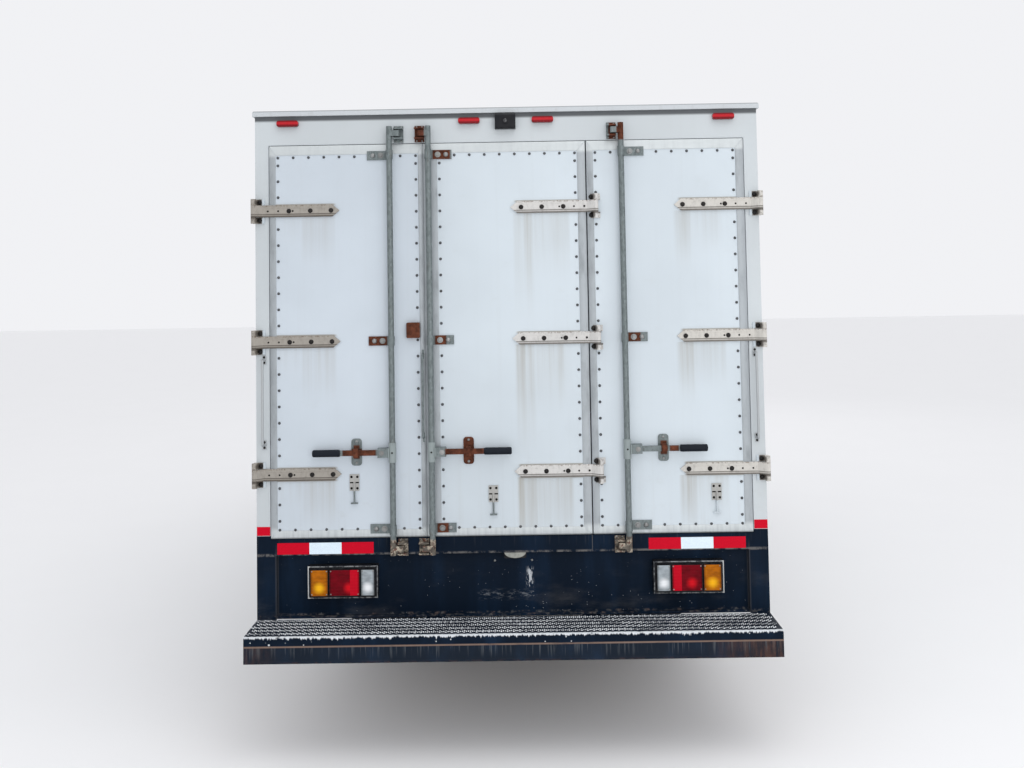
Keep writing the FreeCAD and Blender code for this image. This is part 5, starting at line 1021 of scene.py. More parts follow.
def fabric_finish():
    """A woven seat cloth: threads as crossed waves, with a paler middle band."""
    paint = Paint("Woven cloth")
    weave = (paint.x * 2600.0).sine() * (paint.y * 2600.0).sine() + (paint.z * 2600.0).sine() * 0.5
    fold = paint.noise(9.0, 4.0, 0.6)
    shown = paint.mix((0.055, 0.060, 0.070), (0.10, 0.11, 0.125), fold.between(0.3, 0.7))
    middle = abs(abs(paint.x) - 0.52).between(0.135, 0.125)
    shown = paint.mix(shown, (0.16, 0.17, 0.185), middle * 0.6)
    return paint.done(shown, 0.92, 0.0, paint.bump(weave, 0.0005, 0.5), Sheen_Weight=0.3)


def wood_finish():
    """Laminated floor boards: strips across, each with its own tone, and a fine grain along them."""
    paint = Paint("Floor boards")
    board = paint.cells((33.0, 1.3, 1.0), "Color")
    grain = paint.noise((160.0, 3.0, 20.0), 5.0, 0.65)
    shown = paint.mix((0.13, 0.075, 0.04), (0.30, 0.19, 0.105), board * 0.6 + grain * 0.4)
    return paint.done(paint.mix(shown, (0.10, 0.09, 0.08), paint.noise(3.0, 5.0).between(0.5, 0.75) * 0.6),
                      0.62, 0.0,
                      paint.bump(grain, 0.0008, 0.4))


# Shapes of the pieces

def mitred_trim(low, high, widths, rise, gap=0.0008):
    """Four trims round a door, cut at 45 degrees, with a hair of a gap at each mitre.

    Each is a flat bar with a rounded outer edge."""
    share = np.array([0.0, 0.0, 0.05, 0.94, 1.0, 1.0])
    up = np.array([0.0, 0.7, 1.0, 1.0, 0.55, 0.0]) * rise
    corners = mitres(low, high, widths, share, up)
    parts = []
    for start, end in zip(corners, corners[1:] + corners[:1]):
        pull = (end[0] - start[0]) / np.linalg.norm(end[0] - start[0]) * gap
        parts.append(capped(grid(np.array([start + pull, end - pull]), wrap_columns=True), 2, len(share)))
    return join(parts)


def toothed_ring(radius, height, teeth, spokes=12):
    """A raised ring of the grip plate: it rises to its crest and falls inwards again, and its crest is notched.

    It runs through foot, crest and inner foot, and the crest's height is h (0.68 + 0.32 cos(teeth t))."""
    t = np.linspace(0, 2 * math.pi, spokes, endpoint=False)
    rows = [(1.30, 0.0), (1.0, 1.0), (0.72, 0.95), (0.60, 0.0)]
    points = []
    for wide, high in rows:
        z = height * high * (0.68 + 0.32 * np.cos(teeth * t))
        points.append(np.stack([radius * wide * np.cos(t), radius * wide * np.sin(t), z], axis=-1))
    return grid(np.array(points), wrap_columns=True)


def tyre(centre_x, axle_y, settings):
    """A tyre with a highway tread, closed over its inside.

    Around u and across v: the crown's radius is R - 6 mm (x / 88 mm)^2, and the walls go down to the bead on
    x = 88 - 9 a + 21 sin(pi a)^0.8 mm while the radius falls in proportion to a. Grooves round the tyre and
    between the blocks are cut to the groove depth, and each rib's blocks are turned a little against its
    neighbour's."""
    big, crown, bead, half, seat = AXLE_Z - 0.0003, 0.006, 0.2135, 0.088, 0.0785
    edges = [0.0, 0.0135, 0.0145, 0.0225, 0.0235, 0.0475, 0.0485, 0.0575, 0.0585, half]
    deep = [0, 0, 1, 1, 0, 0, 1, 1, 0, 0]
    rib = [0, 0, 0.5, 0.5, 1, 1, 1.5, 1.5, 2, 2]
    lateral = [0.35, 0.35, 0, 0, 0.6, 0.6, 0, 0, 1.0, 1.0]
    a = np.linspace(0, 1, 19)[1:]
    wall_x = half + (seat - half) * a + 0.021 * np.sin(math.pi * a) ** 0.8
    wall_r = big - crown + (bead - big + crown) * a
    wall_r = wall_r + 0.0012 * (np.abs(a - 0.30) < 0.03) + 0.0012 * (np.abs(a - 0.86) < 0.03)
    x = np.concatenate([edges, wall_x])
    r = np.concatenate([big - crown * (np.array(edges) / half) ** 2, wall_r])
    cut = np.concatenate([deep, np.zeros(len(a))])
    turn = np.concatenate([rib, np.full(len(a), 2.0)])
    cross = np.concatenate([lateral, np.maximum(0, 1 - a / 0.16) * 0.8])
    x, r = np.concatenate([-x[:0:-1], x]), np.concatenate([r[:0:-1], r])
    cut, cross = np.concatenate([cut[:0:-1], cut]), np.concatenate([cross[:0:-1], cross])
    turn = np.concatenate([-turn[:0:-1], turn])
    per_block = max(1, settings.around // settings.blocks)
    shares = np.array([0.0, 0.05, 0.20, 0.25])[:per_block]
    u = ((np.arange(settings.blocks)[:, None] + shares[None, :]) / settings.blocks).ravel() * 2 * math.pi
    between = np.tile(np.array([0.0, 1.0, 1.0, 0.0])[:per_block], settings.blocks)
    depth = np.maximum(cut[None, :], between[:, None] * cross[None, :]) * settings.groove
    angle = u[:, None] + turn[None, :] * 0.35 * 2 * math.pi / settings.blocks
    radius = r[None, :] - depth
    points = np.stack([np.broadcast_to(centre_x + x, radius.shape), axle_y + radius * np.cos(angle),
                       AXLE_Z + radius * np.sin(angle)], axis=-1)
    return grid(points, wrap_rows=True, wrap_columns=True)


def pad(low, high, lean=0.0, channels=(), square=0.28):
    """A crowned seat pad: a superellipsoid with corners drawn in, pressed in along sewn channels.

    x = a c(u) c(v), y = b s(u) c(v), z = h s(v), where c and s are cosine and sine raised to a small power with
    their sign kept. A channel at x0 draws the surface in by 9 mm exp(-((x - x0) / 7 mm)^2)."""
    low, high = np.asarray(low, float), np.asarray(high, float)
    middle, half = (low + high) / 2, (high - low) / 2
    u = np.linspace(0, 2 * math.pi, 96, endpoint=False)
    v = np.linspace(-math.pi / 2, math.pi / 2, 41)[1:-1]

    def power(value, share):
        return np.sign(value) * np.abs(value) ** share

    cu, su, cv, sv = (power(np.cos(u), square), power(np.sin(u), square),
                      power(np.cos(v), 0.45), power(np.sin(v), 0.45))
    points = np.stack([cv[:, None] * cu, cv[:, None] * su, np.broadcast_to(sv[:, None], (len(v), len(u)))],
                      axis=-1)
    pull = np.zeros(points.shape[:2])
    for place in channels:
        pull = pull + np.exp(-((points[..., 0] * half[0] - place) / 0.007) ** 2)
    points = points * half * (1 - 0.07 * pull[..., None] * np.array([0, 1, 1]))
    points[..., 1] -= (points[..., 2] + half[2]) / (2 * half[2]) * lean
    return capped(grid(points + middle, wrap_columns=True), len(v), len(u))


def screen_y(z):
    """The raked face of the cab's front above the waist: y falls by 320 mm while z rises by 750 mm."""
    return CAB_FRONT - SCREEN_SETBACK - (z - WAIST_Z) * SCREEN_RAKE


def raked(part, out):
    """Lays a part made in the X-Z plane, which rises towards -Y, on the raked screen, facing the front."""
    points = np.array(part[0])
    points[:, 1] = screen_y(points[:, 2]) + out - points[:, 1]
    return points, part[1]


def frame_ring(low, high, width, rise):
    """A rounded bead round a rectangle in the X-Z plane at y = 0, rising towards -Y."""
    profile = [(0.0, 0.0), (0.12, 0.7 * rise), (0.35, rise), (0.65, rise), (0.88, 0.7 * rise), (1.0, 0.0)]
    return border((low[0], 0.0, low[1]), (high[0], 0.0, high[1]), (width,) * 4, profile)


def bolts(part, places, y):
    """Copies of a part that rises towards the rear, at (x, z) places on a face at y."""
    places = np.asarray(places, float)
    return repeat(facing_rear(part), np.stack([places[:, 0], np.full(len(places), y), places[:, 1]], axis=-1))


def outline_bead(corners, half, rise, sign):
    """A rounded bead along a closed outline of (y, z) corners on a cab door, mitred at the corners.

    Each corner is moved in and out along the sum of its two sides' normals, so the bead keeps its width."""
    corners = np.asarray(corners, float)
    along = np.roll(corners, -1, axis=0) - corners
    along /= np.linalg.norm(along, axis=1)[:, None]
    normal = np.stack([along[:, 1], -along[:, 0]], axis=-1)
    before = np.roll(normal, 1, axis=0)
    mitre = (normal + before) / (1 + np.sum(normal * before, axis=1))[:, None]
    profile = np.array([(-1.0, 0.0), (-0.7, 0.75), (-0.25, 1.0), (0.25, 1.0), (0.7, 0.75), (1.0, 0.0)])
    spots = corners[:, None, :] + mitre[:, None, :] * (profile[None, :, 0] * half)[..., None]
    x = np.broadcast_to(sign * (CAB_SIDE + profile[None, :, 1] * rise), spots.shape[:2])
    return grid(np.stack([x, spots[..., 0], spots[..., 1]], axis=-1), wrap_rows=True, wrap_columns=True)


class TRUCK_OT_finishes(Operator):
    """Gives every CAD node its finish"""
    bl_idname = "truck.finishes"
    bl_label = "Finishes"

    def execute(self, context):
        colours = context.scene.truck_colours
        for side in DOORS:
            dress(["rear_door_" + side], panel_finish("Door sheet " + side, colours, side, DOOR_LIGHT_AND_SHADE[side]))
        coats = {side: [(*COATS[side], STRAP_PAINT[side])] for side in DOORS}
        coats["right"].append((*CENTRE_BUTT, STRAP_PAINT["centre"]))
        for side in DOORS:
            ends = ROD_X[side] + HANDLE_WAY[side] * np.array(GRIP_REACH)
            made = gear_finish("Door gear " + side, colours, coats[side], (min(ends), max(ends)), RUST[side],
                               WORN[side], PALE[side])
            dress(["rear_door_%s_gear" % side], made)
        butts = [(*span, STRAP_PAINT[side]) for side, span in POST_BUTTS.items()]
        fittings = gear_finish("Frame fittings", colours, butts, None, RUST["frame"], WORN["frame"],
                               handles=GRAB_X)
        dress(["rear_fittings"], fittings)
        dress(["rear_frame", "box_left_wall", "box_right_wall", "box_front_wall"],
              panel_finish("Body sheet", colours, None, (0.93, 0.90, 0.87)))
        dress(["box_roof"], roof_finish())
        dress(["rear_sill"], navy_finish(colours))
        dress(["step_bumper"], bumper_finish(colours))
        dress(["tail_lamps"], tail_lamp_finish())
        dress(["marker_lamps"], marker_finish())
        dress(["rear_camera"],
              plain_finish("Camera plastic", (0.006, 0.007, 0.010), 0.4, 0.0, 0.2, 500.0, 0.0002,
                                            0.05, Specular_IOR_Level=0.2))
        dress(["cab_shell", "cab_door_left", "cab_door_right"], cab_finish(colours))
        dress(["windscreen", "cab_window_left", "cab_window_right"], glass_finish())
        dress(["seats"], fabric_finish())
        dress(["headlamps"], headlamp_finish())
        dress(["box_floor"], wood_finish())
        for name, *values, nodes in PLAIN_NODES:
            dress(nodes, plain_finish(name, *values))
        for axle, wheel, rubber in (("front", "front_wheel_", "front_tyre_"),
                                    ("rear", "twin_wheels_", "twin_tyres_")):
            dress([wheel + side for _, side in SIDES], wheel_finish("Wheel paint " + axle, AXLE_Y[axle]))
            dress([rubber + side for _, side in SIDES], tyre_finish("Tyre rubber " + axle, AXLE_Y[axle]))
        return {"FINISHED"}


def dress(names, finish):
    """Puts a finish in the material slots of the CAD nodes' objects."""
    for name in names:
        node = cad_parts[name]
        for held in node.material_slots:
            held.link = "OBJECT"
            held.material = finish


def finish_of(name):
    """A finish that was made before."""
    return bpy.data.materials[name]


class TRUCK_OT_door_trims(Operator):
    """Mitred aluminium trims round the three doors"""
    bl_idname = "truck.door_trims"
    bl_label = "Door trims"

    def execute(self, context):
        trim = context.scene.truck_trim
        aluminium = trim_finish(context.scene.truck_colours)
        for side, (low, high) in DOORS.items():
            left, right = TRIM_WIDTH[side]
            start, end = (low.x, DOOR_FACE, DOOR_LOW), (high.x, DOOR_FACE, DOOR_HIGH)
            parts = [mitred_trim(start, end, (left, right, trim.foot, trim.top), trim.rise)]
            if side == "centre":
                reach = DOORS["left"][1].x + COVER_PLAY
                parts.append(slab((reach, DOOR_FACE - trim.rise, DOOR_LOW),
                                  (low.x + 0.001, DOOR_FACE + COVER_DEPTH, DOOR_HIGH)))
            faceted(piece("door_trims_" + side, parts, aluminium, ROOM % side))
        return {"FINISHED"}


class TRUCK_OT_rivets(Operator):
    """Dark rivets along the inside of the door trims"""
    bl_idname = "truck.rivets"
    bl_label = "Rivets"

    def execute(self, context):
        trim = context.scene.truck_trim
        dark = plain_finish("Dark rivets", (0.036, 0.040, 0.046), 0.32, 0.0, 0.3, 500.0, 0.0004, 0.1,
                            Specular_IOR_Level=0.7)
        head = dome(trim.rivet, trim.rivet * 0.80, 4, 12)
        for side, (low, high) in DOORS.items():
            left, right = TRIM_WIDTH[side]
            inset = trim.rivet + 0.004
            x0, x1 = low.x + left + inset, high.x - right - inset
            z0, z1 = DOOR_LOW + trim.foot + 0.002, DOOR_HIGH - trim.top - inset
            places = [(x, z) for x in (x0, x1)
                      for z in spread(z0 + trim.pitch * 0.55, z1 - trim.pitch * 0.5, trim.pitch)]
            places += [(x, z) for z in (z0, z1) for x in spread(x0, x1, trim.pitch)]
            places = [(x, z) for x, z in places if clear_of_gear(side, x, z)]
            piece("door_rivets_" + side, [bolts(head, places, DOOR_FACE)], dark, ROOM % side,
                  smooth=True)
        return {"FINISHED"}


def clear_of_gear(side, x, z):
    """True where a rivet isn't under a strap, a rod's bracket or a hasp."""
    pin, way = BUTT_X[side], STRAP_WAY[side]
    reach = (x - pin) * way
    if any(abs(z - strap) < 0.040 and reach < STRAP_REACH + 0.01 for strap in STRAP_Z):
        return False
    from_rod = (x - ROD_X[side]) * BRACKET_WAY[side]
    return not any(abs(z - bracket) < 0.032 and -0.03 < from_rod < 0.122 for bracket in BRACKET_Z)


class TRUCK_OT_door_bolts(Operator):
    """Bolts, bolt holes and ribs on the straps, butts, brackets, hasps and hooks"""
    bl_idname = "truck.door_bolts"
    bl_label = "Door bolts"

    def execute(self, context):
        dark = plain_finish("Dark bolts", (0.010, 0.009, 0.009), 0.6, 0.0, 0.35, 260.0, 0.0006, 0.06,
                            Specular_IOR_Level=0.25)
        zinc = plain_finish("Zinc bolts", (0.30, 0.31, 0.31), 0.42, 0.7, 0.3, 260.0, 0.0006, 0.45)
        # Painted shade: dark discs and slots stand in for the holes
        hole_shade = plain_finish("Bolt hole shade", (0.010, 0.009, 0.008), 0.8, 0.0, 0.3, 300.0, 0.0003,
                            Specular_IOR_Level=0.1)
        big, small = dome(0.0115, 0.0080, 4, 16), dome(0.0052, 0.0016, 2, 12)
        for side in DOORS:
            pin, way = BUTT_X[side], STRAP_WAY[side]
            face = DOOR_FACE - STRAP_OUT
            shift = -0.012 if side == "centre" else 0.0
            places = [(pin + way * (reach + shift), z) for reach in (0.168, 0.272, 0.372) for z in STRAP_Z]
            holes = [(pin + way * (reach + shift), z) for reach in (0.066, 0.116, 0.187) for z in STRAP_Z]
            rib = slab((-0.155, -0.0022, -0.0125), (0.155, 0.001, 0.0125), 0.0008)
            strap = finish_of("Door gear " + side)
            rib_places = [(pin + way * 0.215, face, z) for z in STRAP_Z]
            piece("strap_ribs_" + side, [repeat(rib, rib_places)], strap, ROOM % side)
            piece("strap_bolts_" + side, [bolts(big, places, face - 0.002)], dark, ROOM % side,
                  smooth=True)
            piece("strap_holes_" + side, [bolts(small, holes, face - 0.002)], hole_shade, ROOM % side,
                  smooth=True)
            rod, out = ROD_X[side], BRACKET_WAY[side]
            hexes = [(rod + out * 0.045, z) for z in BRACKET_Z]
            rounds = [(rod + out * 0.084, z) for z in BRACKET_Z]
            hasp = rod + HANDLE_WAY[side] * (HASP_NEAR + HASP_WIDTH / 2)
            pins = [(hasp, HANDLE_Z + sign * (HASP_HALF - 0.013)) for sign in (1, -1)]
            parts = [bolts(hex_head(0.0095, 0.010), hexes, DOOR_FACE - BRACKET_OUT),
                     bolts(dome(0.0120, 0.0090, 4, 16), rounds, DOOR_FACE - BRACKET_OUT),
                     bolts(dome(0.0070, 0.0045, 3, 12), pins, DOOR_FACE - 0.005)]
            clevis = rod + HANDLE_WAY[side] * 0.050
            parts.append(bolts(hex_head(0.0080, 0.005), [(clevis, HANDLE_Z)], ROD_Y - 0.017))
            faceted(piece("bracket_bolts_" + side, parts, zinc, ROOM % side))
            hook_x, hook_z = HOOKS[side]
            spots = [(hook_x + a * 0.014, hook_z + b * 0.027) for a in (-1, 1) for b in (-1, 1)]
            slots = [slab((x - 0.008, DOOR_FACE - 0.0056, hook_z - 0.003),
                          (x + 0.008, DOOR_FACE - 0.004, hook_z + 0.003))
                     for x in (hook_x - 0.0135, hook_x + 0.0135)]
            parts = [bolts(dome(0.0062, 0.0012, 2, 12), spots, DOOR_FACE - 0.005), *slots,
                     bolts(dome(0.0045, 0.0010, 2, 12), [(rod, HANDLE_Z)], ROD_Y - 0.018)]
            piece("hook_holes_" + side, parts, hole_shade, ROOM % side)
        butts = [(BUTT_BOLT_X[side], z + step) for side in ("left", "right") for z in STRAP_Z
                 for step in (-BUTT_BOLT_RISE, BUTT_BOLT_RISE)]
        inner = [(BUTT_BOLT_X["centre"], z + step) for z in STRAP_Z
                 for step in (-BUTT_BOLT_RISE, BUTT_BOLT_RISE)]
        piece("centre_butt_bolts", [bolts(big, inner, DOOR_FACE - BUTT_THICK)], dark, ROOM % "right",
              smooth=True)
        feet = [(sign * GRAB_X, z + step) for sign in (-1, 1) for z in GRAB_FEET for step in (-0.013, 0.013)]
        parts = [bolts(big, butts, REAR_Y - BUTT_THICK),
                 bolts(dome(0.0062, 0.0030, 3, 12), feet, REAR_Y - 0.004)]
        piece("butt_bolts", parts, dark, "chassis", smooth=True)
        keepers = [(ROD_X[s] + NOSE_WAY[s] * reach, z + step) for s in DOORS for reach in (0.030, 0.056)
                   for z in NOSE_Z for step in (-0.0335, 0.0335)]
        plates = [(-0.084, 0.836), (0.094, 0.836)]
        parts = [bolts(dome(0.0045, 0.0035, 3, 10), keepers, REAR_Y - 0.005),
                 bolts(dome(0.0060, 0.0040, 3, 12), plates, PANEL_Y)]
        piece("frame_bolts", parts, zinc, "chassis", smooth=True)
        return {"FINISHED"}


class TRUCK_OT_tapes(Operator):
    """Red and white reflective tape on the sill and the posts' feet"""
    bl_idname = "truck.tapes"
    bl_label = "Reflective tape"

    def execute(self, context):
        red = tape_finish("Red tape", context.scene.truck_colours.tape, 0.06)
        white = tape_finish("White tape", (0.68, 0.79, 0.88), 0.04)
        reds, whites = [], []
        y = (REAR_Y - 0.0008, REAR_Y + 0.0005)
        for start, end in TAPES:
            third = (end - start) / 3
            for i in range(3):
                held = whites if i == 1 else reds
                held.append(slab((start + i * third, y[0], TAPE_Z[0]),
                                 (start + (i + 1) * third, y[1], TAPE_Z[1])))
        for sign in (-1, 1):
            low, high = (BODY_HALF - 0.0645, y[0], POST_TAPE_Z[0]), (BODY_HALF - 0.001, y[1], POST_TAPE_Z[1])
            reds.append(sided(sign, low, high))
        piece("red_tape", reds, red, "chassis")
        piece("white_tape", whites, white, "chassis")
        return {"FINISHED"}


class TRUCK_OT_lamps(Operator):
    """Frames and screws of the tail lamps, and the camera's glass"""
    bl_idname = "truck.lamps"
    bl_label = "Lamp details"

    def execute(self, context):
        pale = lamp_frame_finish()
        screw = plain_finish("Lens screws", (0.30, 0.29, 0.27), 0.4, 0.7, 0.3, 500.0, 0.0003, 0.4)
        rings = [frame_ring((centre - LAMP_HALF, LAMP_Z[0]), (centre + LAMP_HALF, LAMP_Z[1]), 0.0060, 0.0032)
                 for centre, _ in LAMPS]
        frames = [moved(ring, (0, LAMP_FACE, 0)) for ring in rings]
        screws = [(x, z) for _, low, high, *_ in lenses() for x in (low + 0.0065, high - 0.0065)
                  for z in (LENS_Z[0] + 0.007, LENS_Z[1] - 0.007)]
        piece("lamp_frames", frames, pale, "chassis", smooth=True)
        piece("lamp_screws", [bolts(dome(0.0032, 0.0016, 3, 10), screws, LENS_FACE)], screw, "chassis",
              smooth=True)
        glass = plain_finish("Camera glass", (0.004, 0.005, 0.008), 0.05, 0.0, 0.3, 600.0, 0.0001, 0.0,
                             Coat_Weight=1.0)
        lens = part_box("rear_camera")
        middle = (lens[0].z + lens[1].z) / 2
        piece("camera_glass", [bolts(dome(0.0095, 0.0030, 5, 20), [(0.0, middle)], lens[0].y)], glass,
              "chassis", smooth=True)
        return {"FINISHED"}


class TRUCK_OT_grip(Operator):
    """The grip plate's raised, toothed rings on the rear step"""
    bl_idname = "truck.grip"
    bl_label = "Grip plate"

    def execute(self, context):
        grip = context.scene.truck_grip
        half = BODY_HALF - 0.020
        columns = np.arange(-half, half + 0.001, grip.pitch)
        places = []
        for row in range(grip.rows):
            y = BUMPER[0].y + 0.024 + row * grip.row_pitch
            shift = grip.pitch / 2 if row % 2 else 0.0
            places += [(x + shift, y, TREAD_Z) for x in columns if x + shift < half + 0.004]
        ring = toothed_ring(grip.radius, grip.height, grip.teeth)
        piece("grip_rings", [repeat(ring, places)], grip_finish(context.scene.truck_colours), "chassis")
        return {"FINISHED"}


class TRUCK_OT_seals(Operator):
    """A rubber seal in the gap beside the centre door"""
    bl_idname = "truck.seals"
    bl_label = "Door seals"

    def execute(self, context):
        rubber = plain_finish("Seal rubber", (0.010, 0.010, 0.012), 0.75, 0.0, 0.2, 200.0, 0.0008, 0.1,
                              Specular_IOR_Level=0.15)
        lip = DOORS["centre"][0].x
        z = (DOOR_LOW + 0.002, DOOR_HIGH - 0.002)
        bulb = ring_profile(0.0042, 12) * np.array([1.0, 1.6])
        path = np.array([(lip - 0.0042, REAR_Y + 0.012, height) for height in np.linspace(*z, 8)])
        piece("door_seal_centre", [sweep(bulb, path, up=(0, 1, 0))], rubber, ROOM % "centre",
              smooth=True)
        return {"FINISHED"}


class TRUCK_OT_body_sides(Operator):
    """Rivet rows, post strips and corner trims of the van body's sides and front"""
    bl_idname = "truck.body_sides"
    bl_label = "Body sides"

    def execute(self, context):
        trim = context.scene.truck_trim
        white = finish_of("Body sheet")
        steel = plain_finish("Body rivets", (0.42, 0.43, 0.44), 0.45, 0.6, 0.2, 400.0, 0.0003, 0.3)
        low, high = WALL[0].z + 0.130, WALL[1].z - 0.090
        start, end = WALL[0].y + 0.035, WALL[1].y - 0.035
        posts = np.linspace(start, end, trim.posts)
        head = dome(0.0050, 0.0030)
        for sign, name in SIDES:
            strips, rivets = [], []
            for y in posts:
                strip = (SIDE_FACE, y - 0.028, low), (SIDE_FACE + 0.0022, y + 0.028, high)
                strips.append(sided(sign, *strip, 0.0008))
                up = spread(low + 0.03, high - 0.03, trim.side_pitch)
                rivets += [(sign * (SIDE_FACE + 0.0022), y + step, z) for step in (-0.018, 0.018) for z in up]
            along = spread(start, end, trim.side_pitch)
            rivets += [(sign * BODY_HALF, y, z) for y in along
                       for z in (low - 0.020, high + 0.020, low - 0.110)]
            piece("post_strips_" + name, strips, white, "chassis")
            part = repeat(facing_side(head, sign), rivets)
            piece("side_rivets_" + name, [part], steel, "chassis", smooth=True)
        front = FRONT_WALL[1].y
        corners = [sided(sign, (1.150, front - 0.001, low), (1.190, front + 0.0025, high), 0.0008)
                   for sign in (-1, 1)]
        for x in (-0.6, 0.0, 0.6):
            corners.append(slab((x - 0.025, front - 0.001, low), (x + 0.025, front + 0.0022, high), 0.0008))
        piece("front_strips", corners, white, "chassis")
        return {"FINISHED"}


class TRUCK_OT_tyres(Operator):
    """Tyres with a highway tread in place of the plain ones"""
    bl_idname = "truck.tyres"
    bl_label = "Tyres"

    def execute(self, context):
        settings = context.scene.truck_tyres
        for sign, side in SIDES:
            front = tyre(sign * FRONT_TYRE_X, AXLE_Y["front"], settings)
            made = piece("tread_tyre_front_" + side, [front], finish_of("Tyre rubber front"),
                         "wheel_front_" + side)
            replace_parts(faceted(made, 30), "front_tyre_" + side)
            pair = [tyre(sign * x, AXLE_Y["rear"], settings) for x in REAR_TYRES_X]
            made = piece("tread_tyres_rear_" + side, pair, finish_of("Tyre rubber rear"), "wheel_rear_" + side)
            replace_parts(faceted(made, 30), "twin_tyres_" + side)
        return {"FINISHED"}


class TRUCK_OT_cab_trim(Operator):
    """Window rubbers, wipers, side lamps and mirror glass of the cab"""
    bl_idname = "truck.cab_trim"
    bl_label = "Cab trim"

    def execute(self, context):
        rubber = plain_finish("Window rubber", (0.016, 0.016, 0.017), 0.6, 0.0, 0.2, 260.0, 0.0005, 0.1)
        low, high = SCREEN_LOW, SCREEN_HIGH
        ring = frame_ring((low[0] - 0.022, low[1] - 0.020), (high[0] + 0.022, high[1] + 0.020), 0.028, 0.008)
        faceted(piece("windscreen_rubber", [raked(ring, 0.0)], rubber, "cab"))
        arms = []
        for pivot_x in (-0.62, 0.10):
            x = np.linspace(pivot_x, pivot_x + 0.42, 9)
            z = 1.375 + 0.05 * np.sin(np.linspace(0, 1.2, 9))
            arm = np.stack([x, screen_y(z) + 0.026, z], axis=-1)
            arms.append(sweep(np.array([(-0.004, -0.006), (0.004, -0.006), (0.004, 0.006), (-0.004, 0.006)]),
                              arm))
            x = np.linspace(pivot_x + 0.10, pivot_x + 0.66, 9)
            z = 1.412 + 0.012 * np.sin(np.linspace(0, math.pi, 9))
            blade = np.stack([x, screen_y(z) + 0.012, z], axis=-1)
            arms.append(sweep(np.array([(-0.008, -0.005), (0.008, -0.005), (0.002, 0.010), (-0.002, 0.010)]),
                              blade))
            boss = lathe([(0.016, -0.01), (0.016, 0.024), (0.010, 0.030)], 16)
            arms.append(moved(turned(boss, [[1, 0, 0], [0, 0, 1], [0, 1, 0]]),
                              (pivot_x, screen_y(1.375) + 0.002, 1.375)))
        faceted(piece("wipers", arms, rubber, "cab"))
        amber = plain_finish("Amber lens", (0.75, 0.24, 0.01), 0.2, 0.0, 0.15, 900.0, 0.0005, 0.1,
                             Coat_Weight=1.0)
        lamps = [sided(sign, (0.998, 3.262, 1.070), (1.014, 3.350, 1.120), 0.005) for sign in (-1, 1)]
        piece("side_lamps", lamps, amber, "cab")
        mirror = Paint("Mirror glass")
        shine = mirror.done((0.72, 0.75, 0.78), mirror.noise(8.0, 4.0).between(0.3, 0.8) * 0.05 + 0.02, 1.0)
        faces = [sided(sign, (1.142, 3.3305, 1.508), (1.298, 3.3335, 1.872), 0.001) for sign in (-1, 1)]
        piece("mirror_glass", faces, shine, "cab")
        for sign, side in SIDES:
            part = outline_bead(WINDOW_CORNERS, 0.011, 0.006, sign)
            body = "cab_door_%s_body" % side
            faceted(piece("window_rubber_" + side, [part], rubber, body))
        return {"FINISHED"}


class TRUCK_OT_seats(Operator):
    """Padded seats with sewn channels"""
    bl_idname = "truck.seats"
    bl_label = "Cushions"

    def execute(self, context):
        cloth = finish_of("Woven cloth")
        pads = []
        for x in SEAT_X:
            pads.append(pad((x - 0.238, 2.0035, 1.1505), (x + 0.238, 2.4620, 1.2690), 0.0, (-0.13, 0.13)))
            pads.append(pad((x - 0.238, 2.0100, 1.2715), (x + 0.238, 2.1160, 1.7990), 0.088, (-0.13, 0.13)))
        seats = piece("padded_seats", pads, cloth, "cab", smooth=True)
        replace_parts(seats, "seats")
        return {"FINISHED"}


class TRUCK_OT_stage(Operator):
    """The floor, the soft lights and the camera at the photograph's place"""
    bl_idname = "truck.stage"
    bl_label = "Stage"

    def execute(self, context):
        stage = context.scene.truck_stage
        size = stage.floor
        floor = Paint("Pale floor")
        pale = floor.done(floor.mix((0.90, 0.90, 0.905), (0.92, 0.92, 0.925), floor.noise(1.2, 3.0)), 0.7)
        mesh = bpy.data.meshes.new("floor")
        mesh.from_pydata([(-size, -size, 0), (size, -size, 0), (size, size, 0), (-size, size, 0)], [],
                         [(0, 1, 2, 3)])
        mesh.materials.append(pale)
        ground = bpy.data.objects.new("floor", mesh)
        context.scene.collection.objects.link(ground)
        world = bpy.data.worlds.new("Pale sky")
        world.use_nodes = True
        world.node_tree.nodes["Background"].inputs["Color"].default_value = (0.88, 0.885, 0.91, 1.0)
        world.node_tree.nodes["Background"].inputs["Strength"].default_value = 1.0
        context.scene.world = world
        for name, power, wide, place, aim in (("key", stage.key, 6.0, (1.6, REAR_Y - 3.0, 8.0),
                                               (0, REAR_Y - 1.5, 0.0)),
                                              ("fill", stage.fill, 4.0, (2.5, REAR_Y - 6.5, 2.2),
                                               (0, REAR_Y, 0.9)),
                                              ("front", stage.front, 5.0, (3.0, 9.0, 6.0), (0, 2.5, 1.2))):
            data = bpy.data.lights.new(name + " light", "AREA")
            data.energy, data.size = power, wide
            lamp = bpy.data.objects.new(name + "_light", data)
            context.scene.collection.objects.link(lamp)
            towards = Vector(aim) - Vector(place)
            lamp.matrix_world = (Matrix.Translation(place)
                                 @ towards.to_track_quat("-Z", "Y").to_matrix().to_4x4())
        data = bpy.data.cameras.new("camera")
        data.lens, data.sensor_width, data.shift_y = stage.lens, 36.0, stage.shift
        data.clip_end = 500.0
        camera = bpy.data.objects.new("camera", data)
        context.scene.collection.objects.link(camera)
        camera.matrix_world = camera_matrix(stage)
        context.scene.camera = camera
        context.scene.view_settings.view_transform = "Standard"
        return {"FINISHED"}


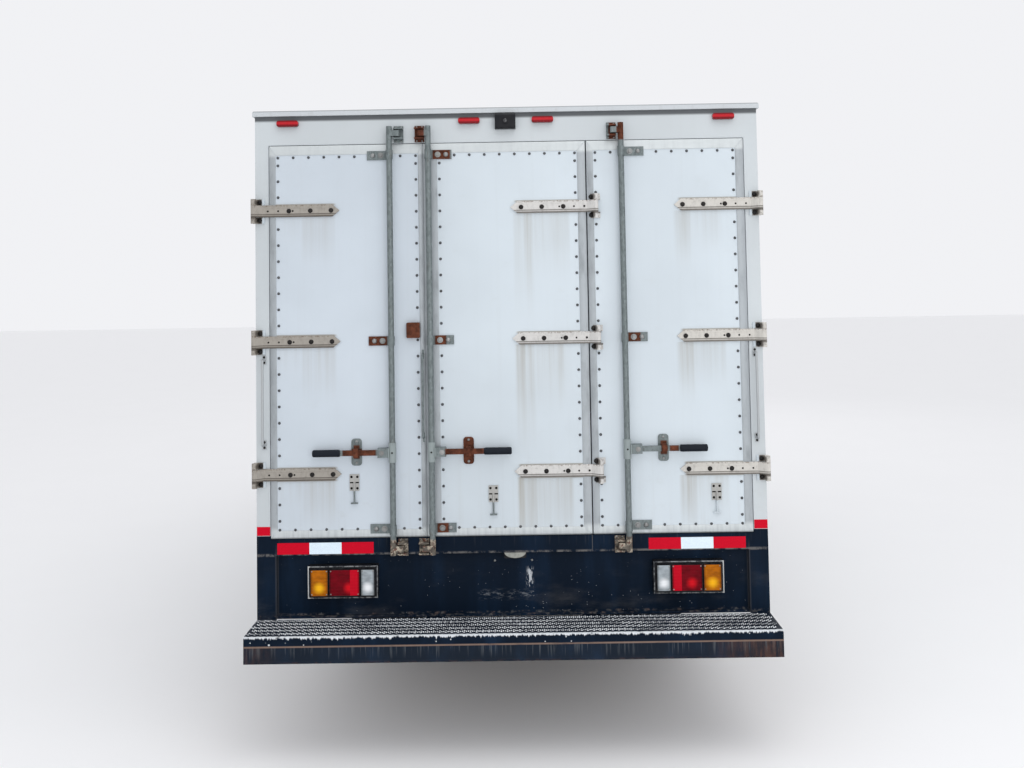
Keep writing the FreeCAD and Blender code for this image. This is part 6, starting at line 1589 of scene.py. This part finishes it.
def camera_matrix(stage):
    """The camera's place and axes: turned by yaw about Z, tilted by pitch, then rolled about its view."""
    cos, sin = math.cos, math.sin
    across = Vector((cos(stage.yaw), -sin(stage.yaw), 0))
    level = Vector((sin(stage.yaw), cos(stage.yaw), 0))
    ahead = level * cos(stage.pitch) + Vector((0, 0, sin(stage.pitch)))
    above = level * -sin(stage.pitch) + Vector((0, 0, cos(stage.pitch)))
    right = across * cos(stage.roll) - above * sin(stage.roll)
    up = across * sin(stage.roll) + above * cos(stage.roll)
    place = Matrix.Translation((stage.offset, REAR_Y - stage.distance, stage.height))
    return place @ Matrix((right, up, -ahead)).transposed().to_4x4()


PIECES = (TRUCK_OT_finishes, TRUCK_OT_door_trims, TRUCK_OT_rivets, TRUCK_OT_door_bolts, TRUCK_OT_tapes,
          TRUCK_OT_lamps,
          TRUCK_OT_grip, TRUCK_OT_seals, TRUCK_OT_body_sides, TRUCK_OT_tyres, TRUCK_OT_cab_trim, TRUCK_OT_seats,
          TRUCK_OT_stage)
GROUPS = {"truck_trim": TruckTrim, "truck_grip": TruckGrip, "truck_tyres": TruckTyres,
          "truck_colours": TruckColours,
          "truck_stage": TruckStage}


class TRUCK_PT_looks(Panel):
    """Lists the sizes, the colours and the operators"""
    bl_label = "Box truck"
    bl_idname = "TRUCK_PT_looks"
    bl_space_type = "VIEW_3D"
    bl_region_type = "UI"
    bl_category = "Truck"

    def draw(self, context):
        for name, kind in GROUPS.items():
            box = self.layout.box()
            for key in kind.__annotations__:
                box.prop(getattr(context.scene, name), key)
        for made in PIECES:
            self.layout.operator(made.bl_idname)


CLASSES = (*GROUPS.values(), *PIECES, TRUCK_PT_looks)


def register():
    for made in CLASSES:
        bpy.utils.register_class(made)
    for name, kind in GROUPS.items():
        setattr(bpy.types.Scene, name, PointerProperty(type=kind))


def unregister():
    for name in GROUPS:
        delattr(bpy.types.Scene, name)
    for made in reversed(CLASSES):
        bpy.utils.unregister_class(made)


def main():
    register()
    for made in PIECES:
        group, name = made.bl_idname.split(".")
        getattr(getattr(bpy.ops, group), name)()


if __name__ == "__main__":
    main()
